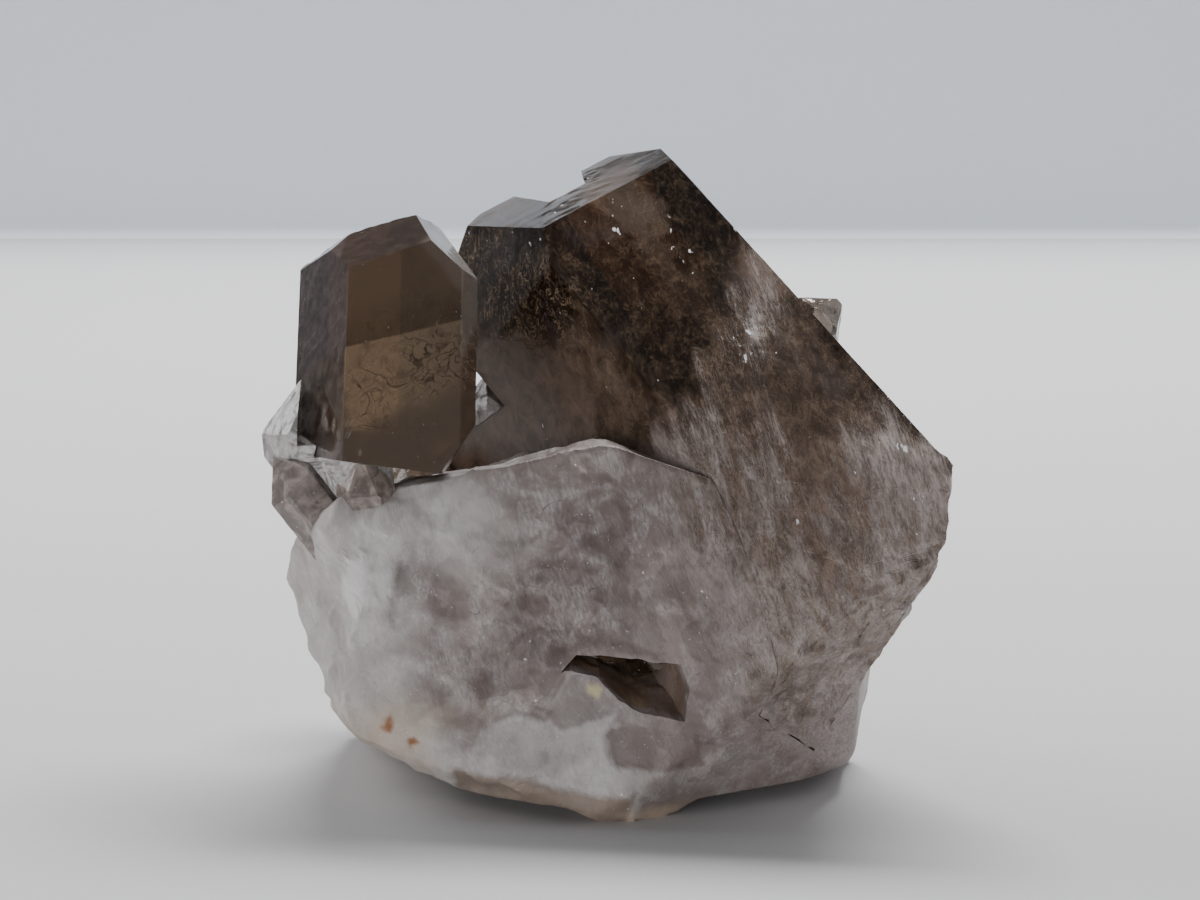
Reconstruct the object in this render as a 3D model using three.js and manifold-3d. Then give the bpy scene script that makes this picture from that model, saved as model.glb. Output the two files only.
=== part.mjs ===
// Smoky quartz cluster: two parallel-grown smoky crystals and one stubby one on a root of milky quartz.
// Millimetres, +Z up. +X is to the right and +Y is to the back, seen from the side with the pocket.
import * as THREE from 'three';
import { ConvexGeometry } from 'three/addons/geometries/ConvexGeometry.js';
import { mergeVertices } from 'three/addons/utils/BufferGeometryUtils.js';
import Module from 'manifold-3d';

const wasm = await Module();
wasm.setup();

// Driving dimensions
const joint = 0.3;            // clear gap between pieces that grew against each other
const slack = 1e-6;           // a corner this near a plane lies on it
const weldDistance = 1e-4;    // corners this near each other are one
const tipRise = 38.2;         // quartz: a tip face's normal stands this far above its prism face's normal

// Quartz prism faces by the turn of their normals about the axis, the front face being 0
const prismTurns = [0, 60, 120, 180, -120, -60];

// A crystal: a point on its axis, where its tip points, its turn about the axis, the distance of each prism
// face from the axis, the height where each tip face cuts the axis, and how far it runs down into the root.
// Breaks are planes by the heading and rise of the normal and a point on the plane. Facets are planes by the
// turn of the normal about the crystal's axis, its rise towards the tip and the distance from the axis point.

// Breaks that run across both the big crystal and the root: the front wall, which is steeper at the bottom,
// and two undercuts on the right
const upperWall = [188.9, 34, [24, -14.5, 44.5]];
const lowerWall = [188.9, 14, [24, -19.5, 36]];
const frontUndercut = [150, -28, [8.2, -18.4, 0]];
const rightUndercut = [128, -50, [27, -8, 2]];

// The big crystal lies back and to the left. Its left top is a steep rough face, its right end is broken.
const mainCrystal = {
  axisPoint: [22.6, 8.2, 36.3],
  heading: -38.6,
  rise: 30.8,
  roll: -27.1,
  prism: [20.9, 19.3, 10, 12, 18.7, 20.4],
  tip: { 0: 68.9, 60: 75 },
  lowEnd: -46,
  facets: [[-55.5, 17.6, 31.2]],
  breaks: [
    upperWall, lowerWall, frontUndercut, rightUndercut,
    [93, -8, [42.9, -18.4, 43.2]], [93, -29.5, [39.2, -19, 29]], [180, -90, [0, 0, 3]],
  ],
};
// It ends in two blades with a notch between them: heights where the rear tip face cuts the axis
const notchTip = 34;
const rightBladeTip = 46.5;
const leftBladeTip = 55.2;
const leftBladeEdge = -2.8;    // the left blade ends here, measured across the front face
const rightBladeEdge = -9.5;   // the right blade starts here, along the normal of its inner wall

// The stubby crystal on the left stands steeper. Its top is chipped, and its low end is broken off.
const leftCrystal = {
  axisPoint: [-24.9, 3.8, 44.0],
  heading: 0,
  rise: 51.3,
  roll: -5.2,
  prism: [12.5, 12, 2.5, 11, 17.3, 13.5],
  tip: { 0: 37.6, 60: 34.5 },
  lowEnd: -24,
  facets: [[-48, 40, 27.1], [-34, 73.9, 30.1]],
  breaks: [[-148, -76, [-28.9, -11.7, 44.4]], [98.2, -34, [-20, -11.3, 46]]],
};

// Small crystals between and behind the big ones
const clearLeftCrystal = {
  axisPoint: [-37.6, 7.5, 43],
  heading: -30,
  rise: 80,
  roll: 30,
  prism: [7.5, 7.2, 6.5, 7, 7.6, 7.4],
  tip: { 0: 12, 60: 12.4, 120: 12.8, 180: 12.2, '-120': 12, '-60': 12.3 },
  lowEnd: -16,
  breaks: [[-90, -50, [-45, 0, 41]]],
};
const flankCrystal = {
  axisPoint: [-41.6, -2.5, 40],
  heading: -90,
  rise: 53,
  roll: 0,
  prism: [3.3, 3.6, 3.4, 3.2, 3.8, 3.5],
  tip: { 0: 4.8, 60: 5, 120: 4.6, 180: 3.9, '-120': 4.3, '-60': 4.6 },
  lowEnd: -13,
};
const sparklingCrystal = {
  axisPoint: [-31.8, -9.5, 38],
  heading: 190,
  rise: 72,
  roll: 12,
  prism: [3.2, 3.4, 3.1, 3.3, 3.5, 3.2],
  tip: { 0: 6.5, 60: 6.2, 120: 6.8, 180: 6.4, '-120': 6.3, '-60': 6.6 },
  lowEnd: -8,
};
const gapCrystal = {
  axisPoint: [-14.2, 23, 36],
  heading: -12,
  rise: 76,
  roll: 18,
  prism: [4, 3.6, 4.4, 4.1, 3.7, 3.5],
  tip: { 0: 14, 60: 14.5, 120: 14, 180: 15, '-120': 14.6, '-60': 14.2 },
  lowEnd: -16,
};
const rearRightCrystal = {
  axisPoint: [22.2, 21, 50],
  heading: 70,
  rise: 38,
  roll: 20,
  prism: [3.6, 3.9, 3.4, 3.7, 3.5, 3.8],
  tip: { 0: 13.2, 60: 12.4, 120: 13, 180: 13.6, '-120': 12.8, '-60': 13.4 },
  lowEnd: -12,
};
const rearLeftCrystal = {
  axisPoint: [-24, 22, 24],
  heading: -22,
  rise: 34,
  roll: 8,
  prism: [7.2, 6.4, 6.8, 7.4, 6.2, 7],
  tip: { 0: 22, 60: 23, 120: 22.5, 180: 24, '-120': 22, '-60': 23.5 },
  lowEnd: -10,
};
const rearLowCrystal = {
  axisPoint: [16, 26, 17],
  heading: 28,
  rise: 16,
  roll: 24,
  prism: [5.4, 6.2, 5.8, 5.2, 6, 5.6],
  tip: { 0: 17, 60: 18, 120: 17.6, 180: 18.4, '-120': 17.2, '-60': 16.8 },
  lowEnd: -10,
};

// Broken faces of the root. The first is what it rests on.
const rootFaces = [
  [180, -90, [0, 0, 0]],
  lowerWall,
  upperWall,
  frontUndercut,
  rightUndercut,
  [198, 13, [-14, -20, 28]],
  [236, 12, [-33, -12, 30]],
  [268, -4, [-42, 0, 25]],
  [262, -24, [-36, -5, 8]],
  [245, -62, [-28, -8, 5]],
  [207, -45, [-9, -18.5, 0]],
  [112, -6, [30.6, -12, 16]],
  [60, -10, [32, 12, 14]],
  [88, 48, [32, 0, 26]],
  [0, 10, [0, 28, 18]],
  [-52, 4, [-34, 20, 20]],
  [-6, -48, [0, 25, 3]],
  [-37, 73.8, [-1.3, -13, 47.8]],
  [59, 69, [5.9, -12, 45.2]],
  [-72, 56, [-30, -6, 40]],
  [-90, 32, [-41.5, 0, 31]],
];

// Shell-shaped break scars in the root: where each lies as seen from the middle of the root, the radius of
// the scooping sphere and how deep it cuts
const rootMiddle = [-3, 1, 20];
const scars = [
  [224, 28, 26, 1.3], [214, 5, 34, 0.9], [248, 14, 18, 1.6], [262, -10, 20, 1.4], [236, -24, 16, 1.4],
  [176, 38, 30, 0.9], [200, -24, 22, 1.2], [160, -30, 18, 1.1], [140, -14, 24, 1.3], [120, 6, 20, 1.2],
];
// More of them, spread over the back from low to high
const backScars = { count: 14, radius: 21, depth: 1.3, lowest: -24, highest: 36, from: 90, span: 180 };
const goldenTurn = 137.5;
const scarDetail = 4;

// A low ledge on the front wall below the pocket: its outline, how proud it stands and how much it narrows
const ledgeOutline = [
  [-11.5, 15.5], [-3.2, 18.2], [0.6, 16.4], [3.2, 13], [-0.6, 8.4], [-7, 5.8], [-12.6, 8.5],
];
const ledgeHeight = 1.5;
const ledgeTaper = 0.8;

// The pocket in the front wall: corners of its mouth, and how deep and how far up it runs
const pocketMouth = [
  [-6.3, 19.7], [-2.6, 21.8], [8.9, 21.2], [12.9, 17.8], [10.1, 13.2], [3.8, 13.7], [-4.6, 18.6],
];
const pocketFront = -30;
const pocketBack = -8;
const pocketLift = 3.5;
const pocketTaper = 0.72;
const crustThickness = 1.4;
const crustFront = -12;
const crustSpan = 80;          // wider and taller than the pocket
// Smoky points in the pocket: a point on each axis, heading and rise of its tip, and half its width
const pointTip = 2.4;          // height of a tip for each unit of half width
const pointUneven = 0.1;
const pointLowEnd = -12;
const pocketPoints = [
  [[0.5, -12, 21], 196, -8, 2.1],
  [[6.5, -11, 21.5], 172, -4, 2.4],
  [[9, -12.5, 17.5], 160, 12, 1.9],
  [[3.5, -11, 16.8], 188, 14, 1.8],
  [[-2.4, -13.5, 20.8], 205, 6, 1.5],
];

function radians(degrees) {
  return THREE.MathUtils.degToRad(degrees);
}

// Unit vector by compass heading (0 is +Y, 90 is +X) and rise above the horizontal
function direction(heading, rise) {
  const flat = Math.cos(radians(rise));
  return new THREE.Vector3(
    flat * Math.sin(radians(heading)),
    flat * Math.cos(radians(heading)),
    Math.sin(radians(rise)),
  );
}

// Plane by its outward normal and a point on it
function planeAt([heading, rise, point]) {
  const normal = direction(heading, rise);
  return { normal, offset: normal.dot(new THREE.Vector3(...point)) };
}

// A crystal's own directions: along the axis, out of the front face, and across the front face
function crystalAxes({ heading, rise, roll }) {
  const axis = direction(heading, rise);
  const up = new THREE.Vector3(0, 0, 1).addScaledVector(axis, -axis.z).normalize();
  const side = new THREE.Vector3().crossVectors(axis, up);
  const front = up.multiplyScalar(Math.cos(radians(roll))).addScaledVector(side, Math.sin(radians(roll)));
  const across = new THREE.Vector3().crossVectors(axis, front);
  return { axis, front, across };
}

// Plane in a crystal's own directions
function crystalPlane(crystal, [turn, rise, distance]) {
  const { axis, front, across } = crystalAxes(crystal);
  const flat = Math.cos(radians(rise));
  const normal = front.multiplyScalar(flat * Math.cos(radians(turn)))
    .addScaledVector(across, flat * Math.sin(radians(turn)))
    .addScaledVector(axis, Math.sin(radians(rise)));
  return { normal, offset: normal.dot(new THREE.Vector3(...crystal.axisPoint)) + distance };
}

// The six prism faces, the tip faces, the low end, the facets and the breaks of a crystal
function crystalPlanes(crystal, tip = crystal.tip) {
  const { facets = [], breaks = [] } = crystal;
  const faces = [...facets, [0, -90, -crystal.lowEnd]];
  prismTurns.forEach((turn, i) => faces.push([turn, 0, crystal.prism[i]]));
  for (const [turn, height] of Object.entries(tip)) {
    faces.push([Number(turn), tipRise, height * Math.sin(radians(tipRise))]);
  }
  return [...faces.map((face) => crystalPlane(crystal, face)), ...breaks.map(planeAt)];
}

// Closed solid of everything behind all the planes: the corners are where three planes meet
function solidBehind(planes, grow = 0) {
  const corners = [];
  for (let i = 0; i < planes.length; i += 1) {
    for (let j = i + 1; j < planes.length; j += 1) {
      for (let k = j + 1; k < planes.length; k += 1) {
        const [a, b, c] = [planes[i], planes[j], planes[k]];
        const bc = new THREE.Vector3().crossVectors(b.normal, c.normal);
        const volume = a.normal.dot(bc);
        if (Math.abs(volume) > slack) {
          const corner = bc.multiplyScalar(a.offset + grow)
            .addScaledVector(new THREE.Vector3().crossVectors(c.normal, a.normal), b.offset + grow)
            .addScaledVector(new THREE.Vector3().crossVectors(a.normal, b.normal), c.offset + grow)
            .divideScalar(volume);
          if (planes.every((p) => p.normal.dot(corner) < p.offset + grow + slack)) {
            corners.push(corner);
          }
        }
      }
    }
  }
  return solidFrom(new ConvexGeometry(corners));
}

function solidFrom(geometry) {
  geometry.deleteAttribute('normal');
  geometry.deleteAttribute('uv');
  const merged = mergeVertices(geometry, weldDistance);
  return new wasm.Manifold(new wasm.Mesh({
    numProp: 3,
    vertProperties: new Float32Array(merged.attributes.position.array),
    triVerts: new Uint32Array(merged.index.array),
  }));
}

function geometryFrom(solid) {
  const mesh = solid.getMesh();
  const geometry = new THREE.BufferGeometry();
  geometry.setAttribute('position', new THREE.BufferAttribute(mesh.vertProperties, 3));
  geometry.setIndex(new THREE.BufferAttribute(mesh.triVerts, 1));
  geometry.computeVertexNormals();
  return geometry;
}

function piece(name, solid, color, roughness) {
  const material = new THREE.MeshStandardMaterial({ color, roughness, metalness: 0 });
  const mesh = new THREE.Mesh(geometryFrom(solid), material);
  mesh.name = name;
  return mesh;
}

// Big crystal: one prism whose tip grew as two blades with a notch between them
function mainCrystalSolid(grow = 0) {
  const withRearTip = (height) => crystalPlanes(mainCrystal, { ...mainCrystal.tip, 180: height });
  const left = [...withRearTip(leftBladeTip), crystalPlane(mainCrystal, [90, 0, leftBladeEdge])];
  const right = [...withRearTip(rightBladeTip), crystalPlane(mainCrystal, [-120, 0, rightBladeEdge])];
  const body = solidBehind(withRearTip(notchTip), grow);
  return body.add(solidBehind(left, grow)).add(solidBehind(right, grow));
}

// Ledge: its outline on the front wall, and a smaller one standing proud of it
function ledgeSolid() {
  const wall = planeAt(lowerWall);
  const middle = new THREE.Vector2();
  ledgeOutline.forEach(([x, z]) => middle.add(new THREE.Vector2(x, z)));
  middle.divideScalar(ledgeOutline.length);
  const onWall = (x, z) => (wall.offset - wall.normal.x * x - wall.normal.z * z) / wall.normal.y;
  const corners = ledgeOutline.flatMap(([x, z]) => {
    const topX = middle.x + (x - middle.x) * ledgeTaper;
    const topZ = middle.y + (z - middle.y) * ledgeTaper;
    return [
      new THREE.Vector3(x, onWall(x, z) + ledgeHeight, z),
      new THREE.Vector3(topX, onWall(topX, topZ) - ledgeHeight, topZ),
    ];
  });
  return solidFrom(new ConvexGeometry(corners));
}

// Break scar: the root loses what lies inside a ball that dips into its face
function scarSolid(planes, heading, rise, radius, depth) {
  const middle = new THREE.Vector3(...rootMiddle);
  const outward = direction(heading, rise);
  const reaches = planes
    .filter((plane) => plane.normal.dot(outward) > 0)
    .map((plane) => (plane.offset - plane.normal.dot(middle)) / plane.normal.dot(outward));
  const reach = Math.min(...reaches);
  const face = planes.find((plane) => Math.abs(plane.normal.dot(outward) * reach
    + plane.normal.dot(middle) - plane.offset) < slack);
  const ball = new THREE.IcosahedronGeometry(radius, scarDetail);
  ball.rotateZ(radians(heading)).rotateX(radians(rise));
  const spot = middle.addScaledVector(outward, reach).addScaledVector(face.normal, radius - depth);
  ball.translate(spot.x, spot.y, spot.z);
  return solidFrom(ball);
}

// Root: a broken lump of milky quartz, flat below, with a ledge and break scars
function rootSolid() {
  const planes = rootFaces.map(planeAt);
  planes.push(crystalPlane(mainCrystal, [0, 0, mainCrystal.prism[0]]));
  let solid = solidBehind(planes);
  for (const [heading, rise, radius, depth] of scars) {
    solid = solid.subtract(scarSolid(planes, heading, rise, radius, depth));
  }
  const { count, radius, depth, lowest, highest, from, span } = backScars;
  for (let i = 0; i < count; i += 1) {
    const heading = from - (i * goldenTurn) % span;
    const rise = lowest + ((highest - lowest) * i) / count;
    solid = solid.subtract(scarSolid(planes, heading, rise, radius, depth));
  }
  return solid.add(ledgeSolid());
}

// Pocket: the mouth carried back into the root, narrowing and rising. An inset makes it smaller all round.
function pocketSolid(inset = 0, forward = 0) {
  const centre = new THREE.Vector2();
  pocketMouth.forEach(([x, z]) => centre.add(new THREE.Vector2(x, z)));
  centre.divideScalar(pocketMouth.length);
  const corners = pocketMouth.flatMap(([x, z]) => {
    const out = new THREE.Vector2(x, z).sub(centre);
    out.setLength(out.length() - inset);
    return [
      new THREE.Vector3(centre.x + out.x, pocketFront, centre.y + out.y),
      new THREE.Vector3(
        centre.x + out.x * pocketTaper,
        pocketBack - forward,
        centre.y + out.y * pocketTaper + pocketLift,
      ),
    ];
  });
  return solidFrom(new ConvexGeometry(corners));
}

// Crust of small smoky crystals that lines the back of the pocket
function crustSolid() {
  const lining = pocketSolid(joint, joint);
  const hollow = pocketSolid(joint + crustThickness, joint + crustThickness);
  const front = new THREE.BoxGeometry(crustSpan, crustSpan, crustSpan);
  front.translate(0, crustFront - crustSpan / 2, 0);
  let crust = lining.subtract(hollow).subtract(solidFrom(front));
  for (const [axisPoint, heading, rise, half] of pocketPoints) {
    const point = {
      axisPoint,
      heading,
      rise,
      roll: heading,
      prism: prismTurns.map((turn) => half * (1 + pointUneven * Math.sin(radians(turn)))),
      tip: Object.fromEntries(prismTurns.map((turn) => [turn, half * pointTip])),
      lowEnd: pointLowEnd,
    };
    crust = crust.add(solidBehind(crystalPlanes(point)).intersect(lining));
  }
  return crust;
}

const smoky = 0x4a3b30;
const paleSmoky = 0x5c4a3a;
const clear = 0xb9b2ab;
const milky = 0x8d8480;

const crystalRoughness = 0.15;
const rootRoughness = 0.45;

const mainSocket = mainCrystalSolid(joint);
const leftSocket = solidBehind(crystalPlanes(leftCrystal), joint);
const grown = [
  ['main_crystals', mainCrystalSolid(), smoky],
  ['left_crystal', solidBehind(crystalPlanes(leftCrystal)).subtract(mainSocket), paleSmoky],
];
let root = rootSolid().subtract(mainSocket).subtract(leftSocket);

// The small crystals fill what the big ones leave free
const smallCrystals = {
  clear_left_crystal: [clearLeftCrystal, clear],
  flank_crystal: [flankCrystal, clear],
  sparkling_crystal: [sparklingCrystal, paleSmoky],
  gap_crystal: [gapCrystal, clear],
  rear_right_crystal: [rearRightCrystal, paleSmoky],
  rear_left_crystal: [rearLeftCrystal, paleSmoky],
  rear_low_crystal: [rearLowCrystal, smoky],
};
let taken = mainSocket.add(leftSocket);
for (const [name, [crystal, color]] of Object.entries(smallCrystals)) {
  const planes = crystalPlanes(crystal);
  grown.push([name, solidBehind(planes).subtract(taken), color]);
  const socket = solidBehind(planes, joint);
  root = root.subtract(socket);
  taken = taken.add(socket);
}
root = root.subtract(pocketSolid());
grown.push(['pocket_crystals', crustSolid().subtract(taken), smoky]);

const cluster = new THREE.Group();
for (const [name, solid, color] of grown) {
  cluster.add(piece(name, solid, color, crystalRoughness));
}
cluster.add(piece('milky_root', root, milky, rootRoughness));

// The origin is the middle of the base
const bounds = new THREE.Box3().setFromObject(cluster);
const middle = bounds.getCenter(new THREE.Vector3());
for (const mesh of cluster.children) {
  mesh.geometry.translate(-middle.x, -middle.y, -bounds.min.z);
}

export default cluster;
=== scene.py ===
import itertools
import math
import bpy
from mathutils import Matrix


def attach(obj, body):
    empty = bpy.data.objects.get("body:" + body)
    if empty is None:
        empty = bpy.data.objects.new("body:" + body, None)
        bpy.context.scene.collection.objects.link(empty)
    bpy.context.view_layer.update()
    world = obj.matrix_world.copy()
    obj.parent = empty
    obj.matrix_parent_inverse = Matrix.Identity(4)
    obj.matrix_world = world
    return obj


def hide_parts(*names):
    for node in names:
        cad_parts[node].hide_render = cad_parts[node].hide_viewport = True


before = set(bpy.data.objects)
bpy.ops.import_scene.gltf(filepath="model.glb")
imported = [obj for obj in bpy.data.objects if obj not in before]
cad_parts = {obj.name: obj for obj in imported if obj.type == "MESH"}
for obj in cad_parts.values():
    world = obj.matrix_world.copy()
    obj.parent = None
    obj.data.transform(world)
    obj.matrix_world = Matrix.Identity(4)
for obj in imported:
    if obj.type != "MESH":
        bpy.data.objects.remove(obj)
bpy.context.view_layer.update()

from types import SimpleNamespace

import bmesh
import bpy
import numpy as np

# Smoky quartz cluster on its root of milky quartz. Shapes are worked out in millimetres as the specimen
# stands, with +X to the right and +Y to the back, and moved onto the frame's origin at the end.
mm = 0.001
specimenMiddle = np.array([-1.22, 10.984, 0.0])  # where the frame's origin lies in the numbers below
tipRise = 38.2
prismTurns = (0, 60, 120, 180, -120, -60)

frontWalls = dict(
    upper=(188.9, 34, (24, -14.5, 44.5)),
    lower=(188.9, 14, (24, -19.5, 36)),
    frontUndercut=(150, -28, (8.2, -18.4, 0)),
    rightUndercut=(128, -50, (27, -8, 2)),
    rounding=7.0,  # how far the bend between the big crystal's front face and the walls spreads
)


# From 0 at low to 1 at high, easing in and out: three squares less two cubes
def smoothStep(low, high, value):
    part = np.clip((value - low) / (high - low), 0, 1)
    return part * part * (3 - 2 * part)


# A number from 0 to 1 for each cell of a unit lattice, always the same for the same cell
def cellNumber(cell, seed):
    mixed = cell[:, 0] * 374761393 + cell[:, 1] * 668265263 + cell[:, 2] * 1440662683 + seed * 974634777
    mixed = (mixed ^ (mixed >> 13)) * 1274126177
    return ((mixed ^ (mixed >> 16)) & 0xFFFF) / 65535


# Value noise: the numbers at a cell's corners, blended smoothly in between
def latticeNoise(points, seed=0):
    cell = np.floor(points).astype(np.int64)
    part = points - cell
    part = part * part * part * (part * (part * 6 - 15) + 10)
    total = np.zeros(len(points))
    for corner in itertools.product((0, 1), repeat=3):
        weight = np.prod(np.where(corner, part, 1 - part), axis=1)
        total += weight * (cellNumber(cell + np.array(corner), seed) * 2 - 1)
    return total


# Several octaves of the noise, each half as wide and half as strong
def layeredNoise(points, size, octaves=4, seed=0):
    total = np.zeros(len(points))
    for octave in range(octaves):
        total += latticeNoise(points / size * 2 ** octave + 17.3 * octave, seed + octave) / 2 ** octave
    return total


# Scallops, as on broken quartz: the lowest of many leaning bowls, one round each of the scattered seeds, so
# that shallow hollows meet in ridges
def scallops(points, size, depth, lean, seed):
    sway = np.stack([layeredNoise(points, size * 0.5, 3, seed + k) for k in range(3)], axis=1)
    warped = points / size + 0.12 * sway
    home = np.floor(warped).astype(np.int64)
    lowest = np.full(len(points), 1e9)
    for step in itertools.product((-1, 0, 1), repeat=3):
        cell = home + np.array(step)
        offset = warped - cell - np.stack([cellNumber(cell, seed + k) for k in (3, 4, 5)], axis=1)
        slope = np.stack([cellNumber(cell, seed + k) * 2 - 1 for k in (6, 7, 8)], axis=1)
        bowl = (offset ** 2).sum(axis=1) + lean * (offset * slope).sum(axis=1)
        bowl += 0.2 * cellNumber(cell, seed + 9)
        lowest = np.minimum(lowest, bowl)
    return depth * (lowest - 0.35)


# A unit vector: its heading is turned from the back towards the right, its rise is above the floor
def direction(heading, rise):
    heading, rise = math.radians(heading), math.radians(rise)
    level = math.cos(rise)
    return np.array([level * math.sin(heading), level * math.cos(heading), math.sin(rise)])


# A crystal's own directions: across its front face, along its axis, out of its front face
def axesOf(crystal):
    axis = direction(crystal["heading"], crystal["rise"])
    up = np.array([0, 0, 1.0]) - axis * axis[2]
    up /= np.linalg.norm(up)
    side = np.cross(axis, up)
    roll = math.radians(crystal["roll"])
    front = up * math.cos(roll) + side * math.sin(roll)
    return np.array([np.cross(axis, front), axis, front])


# A plane through a point: its outward normal, by heading and rise, and its distance from the origin
def breakPlane(heading, rise, point):
    normal = direction(heading, rise)
    return np.append(normal, normal @ np.array(point, float))


# A plane turned round a crystal's axis and risen towards its tip, a distance from its axis point
def crystalPlane(crystal, turn, rise, distance):
    across, axis, front = axesOf(crystal)
    turn, rise = math.radians(turn), math.radians(rise)
    normal = math.cos(rise) * (front * math.cos(turn) + across * math.sin(turn)) + axis * math.sin(rise)
    return np.append(normal, normal @ np.array(crystal["axisPoint"]) + distance)


# A tip face, by the height at which it meets the crystal's axis
def tipPlane(crystal, turn, height):
    return crystalPlane(crystal, turn, tipRise, height * math.sin(math.radians(tipRise)))


# One row a plane: outward normal and distance from the origin
def planesOf(crystal):
    rows = [crystalPlane(crystal, turn, 0, reach) for turn, reach in zip(prismTurns, crystal["prism"])]
    rows += [tipPlane(crystal, turn, height) for turn, height in crystal["tip"].items()]
    rows += [crystalPlane(crystal, *facet) for facet in crystal.get("facets", ())]
    rows += [breakPlane(*one) for one in crystal.get("breaks", ())]
    rows.append(crystalPlane(crystal, 0, -90, -crystal["lowEnd"]))
    return np.array(rows)


# Every corner where three planes meet and no other plane cuts it off
def cornersOf(planes):
    first, second, third = planes[np.array(list(itertools.combinations(range(len(planes)), 3))).T]
    cross = np.cross(second[:, :3], third[:, :3])
    volume = np.einsum("ij,ij->i", first[:, :3], cross)
    meet = np.abs(volume) > 1e-6
    first, second, third, cross, volume = first[meet], second[meet], third[meet], cross[meet], volume[meet]
    spots = first[:, 3:] * cross
    spots += second[:, 3:] * np.cross(third[:, :3], first[:, :3])
    spots += third[:, 3:] * np.cross(first[:, :3], second[:, :3])
    spots /= volume[:, None]
    inside = (spots @ planes[:, :3].T < planes[:, 3] + 1e-6).all(axis=1)
    return np.unique(np.round(spots[inside], 5), axis=0)


# One flat face as a grid of two parameters: round its rim, and from its middle out to the rim
def facePatch(corners, normal, spacing, lip, relief):
    middle = corners.mean(axis=0)
    across = corners[0] - middle
    across /= np.linalg.norm(across)
    turn = np.arctan2((corners - middle) @ np.cross(normal, across), (corners - middle) @ across)
    loop = corners[np.argsort(turn)]
    sides = np.roll(loop, -1, axis=0) - loop
    counts = np.maximum(1, np.ceil(np.linalg.norm(sides, axis=1) / spacing - 1e-4)).astype(int)
    side = np.repeat(np.arange(len(loop)), counts)
    part = (np.arange(counts.sum()) - np.repeat(np.cumsum(counts) - counts, counts)) / counts[side]
    rim = loop[side] + sides[side] * part[:, None]
    reach = np.linalg.norm(rim - middle, axis=1).mean()
    rings = max(1, int(reach / spacing))
    out = np.append(np.linspace(0, 1 - lip / reach, rings + 1)[1:], 1) if rings > 1 else np.array([1.0])
    grid = middle + (rim - middle)[None] * out[:, None, None]
    points = np.vstack([middle[None], grid.reshape(-1, 3)])
    if relief is not None:
        fade = smoothStep(0, 1.2, np.append(reach, np.repeat((1 - out) * reach, len(rim))))
        points = points + normal * (relief(points, normal) * fade)[:, None]
    around = np.arange(len(rim))
    nextOne = (around + 1) % len(rim)
    fan = np.stack([np.zeros_like(around), 1 + around, 1 + nextOne], axis=1)
    inner = 1 + np.arange(len(out) - 1)[:, None] * len(rim) + around
    innerNext = 1 + np.arange(len(out) - 1)[:, None] * len(rim) + nextOne
    outer, outerNext = inner + len(rim), innerNext + len(rim)
    strips = np.stack([inner, outer, outerNext, inner, outerNext, innerNext], axis=-1).reshape(-1, 3)
    return points, np.vstack([fan, strips])


# A body bounded by planes: the face grids side by side, meeting at shared rims
def facetedBody(planes, spacing, lip=0.1, relief=None):
    corners = cornersOf(planes)
    points, triangles, count = [], [], 0
    for plane in planes:
        onFace = corners[np.abs(corners @ plane[:3] - plane[3]) < 1e-3]
        if len(onFace) > 2:
            patch, patchTriangles = facePatch(onFace, plane[:3], spacing, lip, relief)
            points.append(patch)
            triangles.append(patchTriangles + count)
            count += len(patch)
    return np.vstack(points), np.vstack(triangles)


# Triangles of a closed grid of rings with one point at each end
def ringTriangles(rings, around):
    spot = np.arange(around)
    nextOne = (spot + 1) % around
    inner = 1 + np.arange(rings - 1)[:, None] * around + spot
    innerNext = 1 + np.arange(rings - 1)[:, None] * around + nextOne
    outer, outerNext = inner + around, innerNext + around
    strips = np.stack([inner, innerNext, outerNext, inner, outerNext, outer], axis=-1)
    last = 1 + (rings - 1) * around
    low = np.stack([np.zeros_like(spot), 1 + nextOne, 1 + spot], axis=1)
    high = np.stack([np.full_like(spot, last + around), last + spot, last + nextOne], axis=1)
    return np.vstack([low, strips.reshape(-1, 3), high])


# A mesh from points in the specimen's millimetres, with the shared rims of its faces merged
def makeObject(name, points, triangles):
    mesh = bpy.data.meshes.new(name)
    mesh.vertices.add(len(points))
    mesh.vertices.foreach_set("co", ((points - specimenMiddle) * mm).astype(np.float32).ravel())
    mesh.loops.add(3 * len(triangles))
    mesh.loops.foreach_set("vertex_index", triangles.astype(np.int32).ravel())
    mesh.polygons.add(len(triangles))
    mesh.polygons.foreach_set("loop_start", np.arange(0, 3 * len(triangles), 3, dtype=np.int32))
    mesh.update(calc_edges=True)
    shape = bmesh.new()
    shape.from_mesh(mesh)
    bmesh.ops.remove_doubles(shape, verts=shape.verts, dist=3e-6)
    bmesh.ops.dissolve_degenerate(shape, edges=shape.edges, dist=1e-7)
    shape.to_mesh(mesh)
    shape.free()
    piece = bpy.data.objects.new(name, mesh)
    bpy.context.scene.collection.objects.link(piece)
    return piece


# Cut a tool out of a piece or join it on, and keep the result as the piece's own mesh
def combine(piece, tool, operation="DIFFERENCE"):
    step = piece.modifiers.new("combine", "BOOLEAN")
    step.operation = operation
    step.solver = "MANIFOLD"
    step.object = tool
    view = bpy.context.evaluated_depsgraph_get()
    mesh = bpy.data.meshes.new_from_object(piece.evaluated_get(view))
    piece.modifiers.clear()
    piece.data = mesh
    bpy.data.objects.remove(tool)


# Where a piece's points are, in the specimen's millimetres
def pointsOf(piece):
    flat = np.empty(3 * len(piece.data.vertices), np.float32)
    piece.data.vertices.foreach_get("co", flat)
    return flat.reshape(-1, 3).astype(float) / mm + specimenMiddle


# A number from 0 to 1 at every point, for the materials to read
def paint(piece, name, values):
    layer = piece.data.attributes.new(name, "FLOAT", "POINT")
    layer.data.foreach_set("value", np.clip(values, 0, 1).astype(np.float32))


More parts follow.
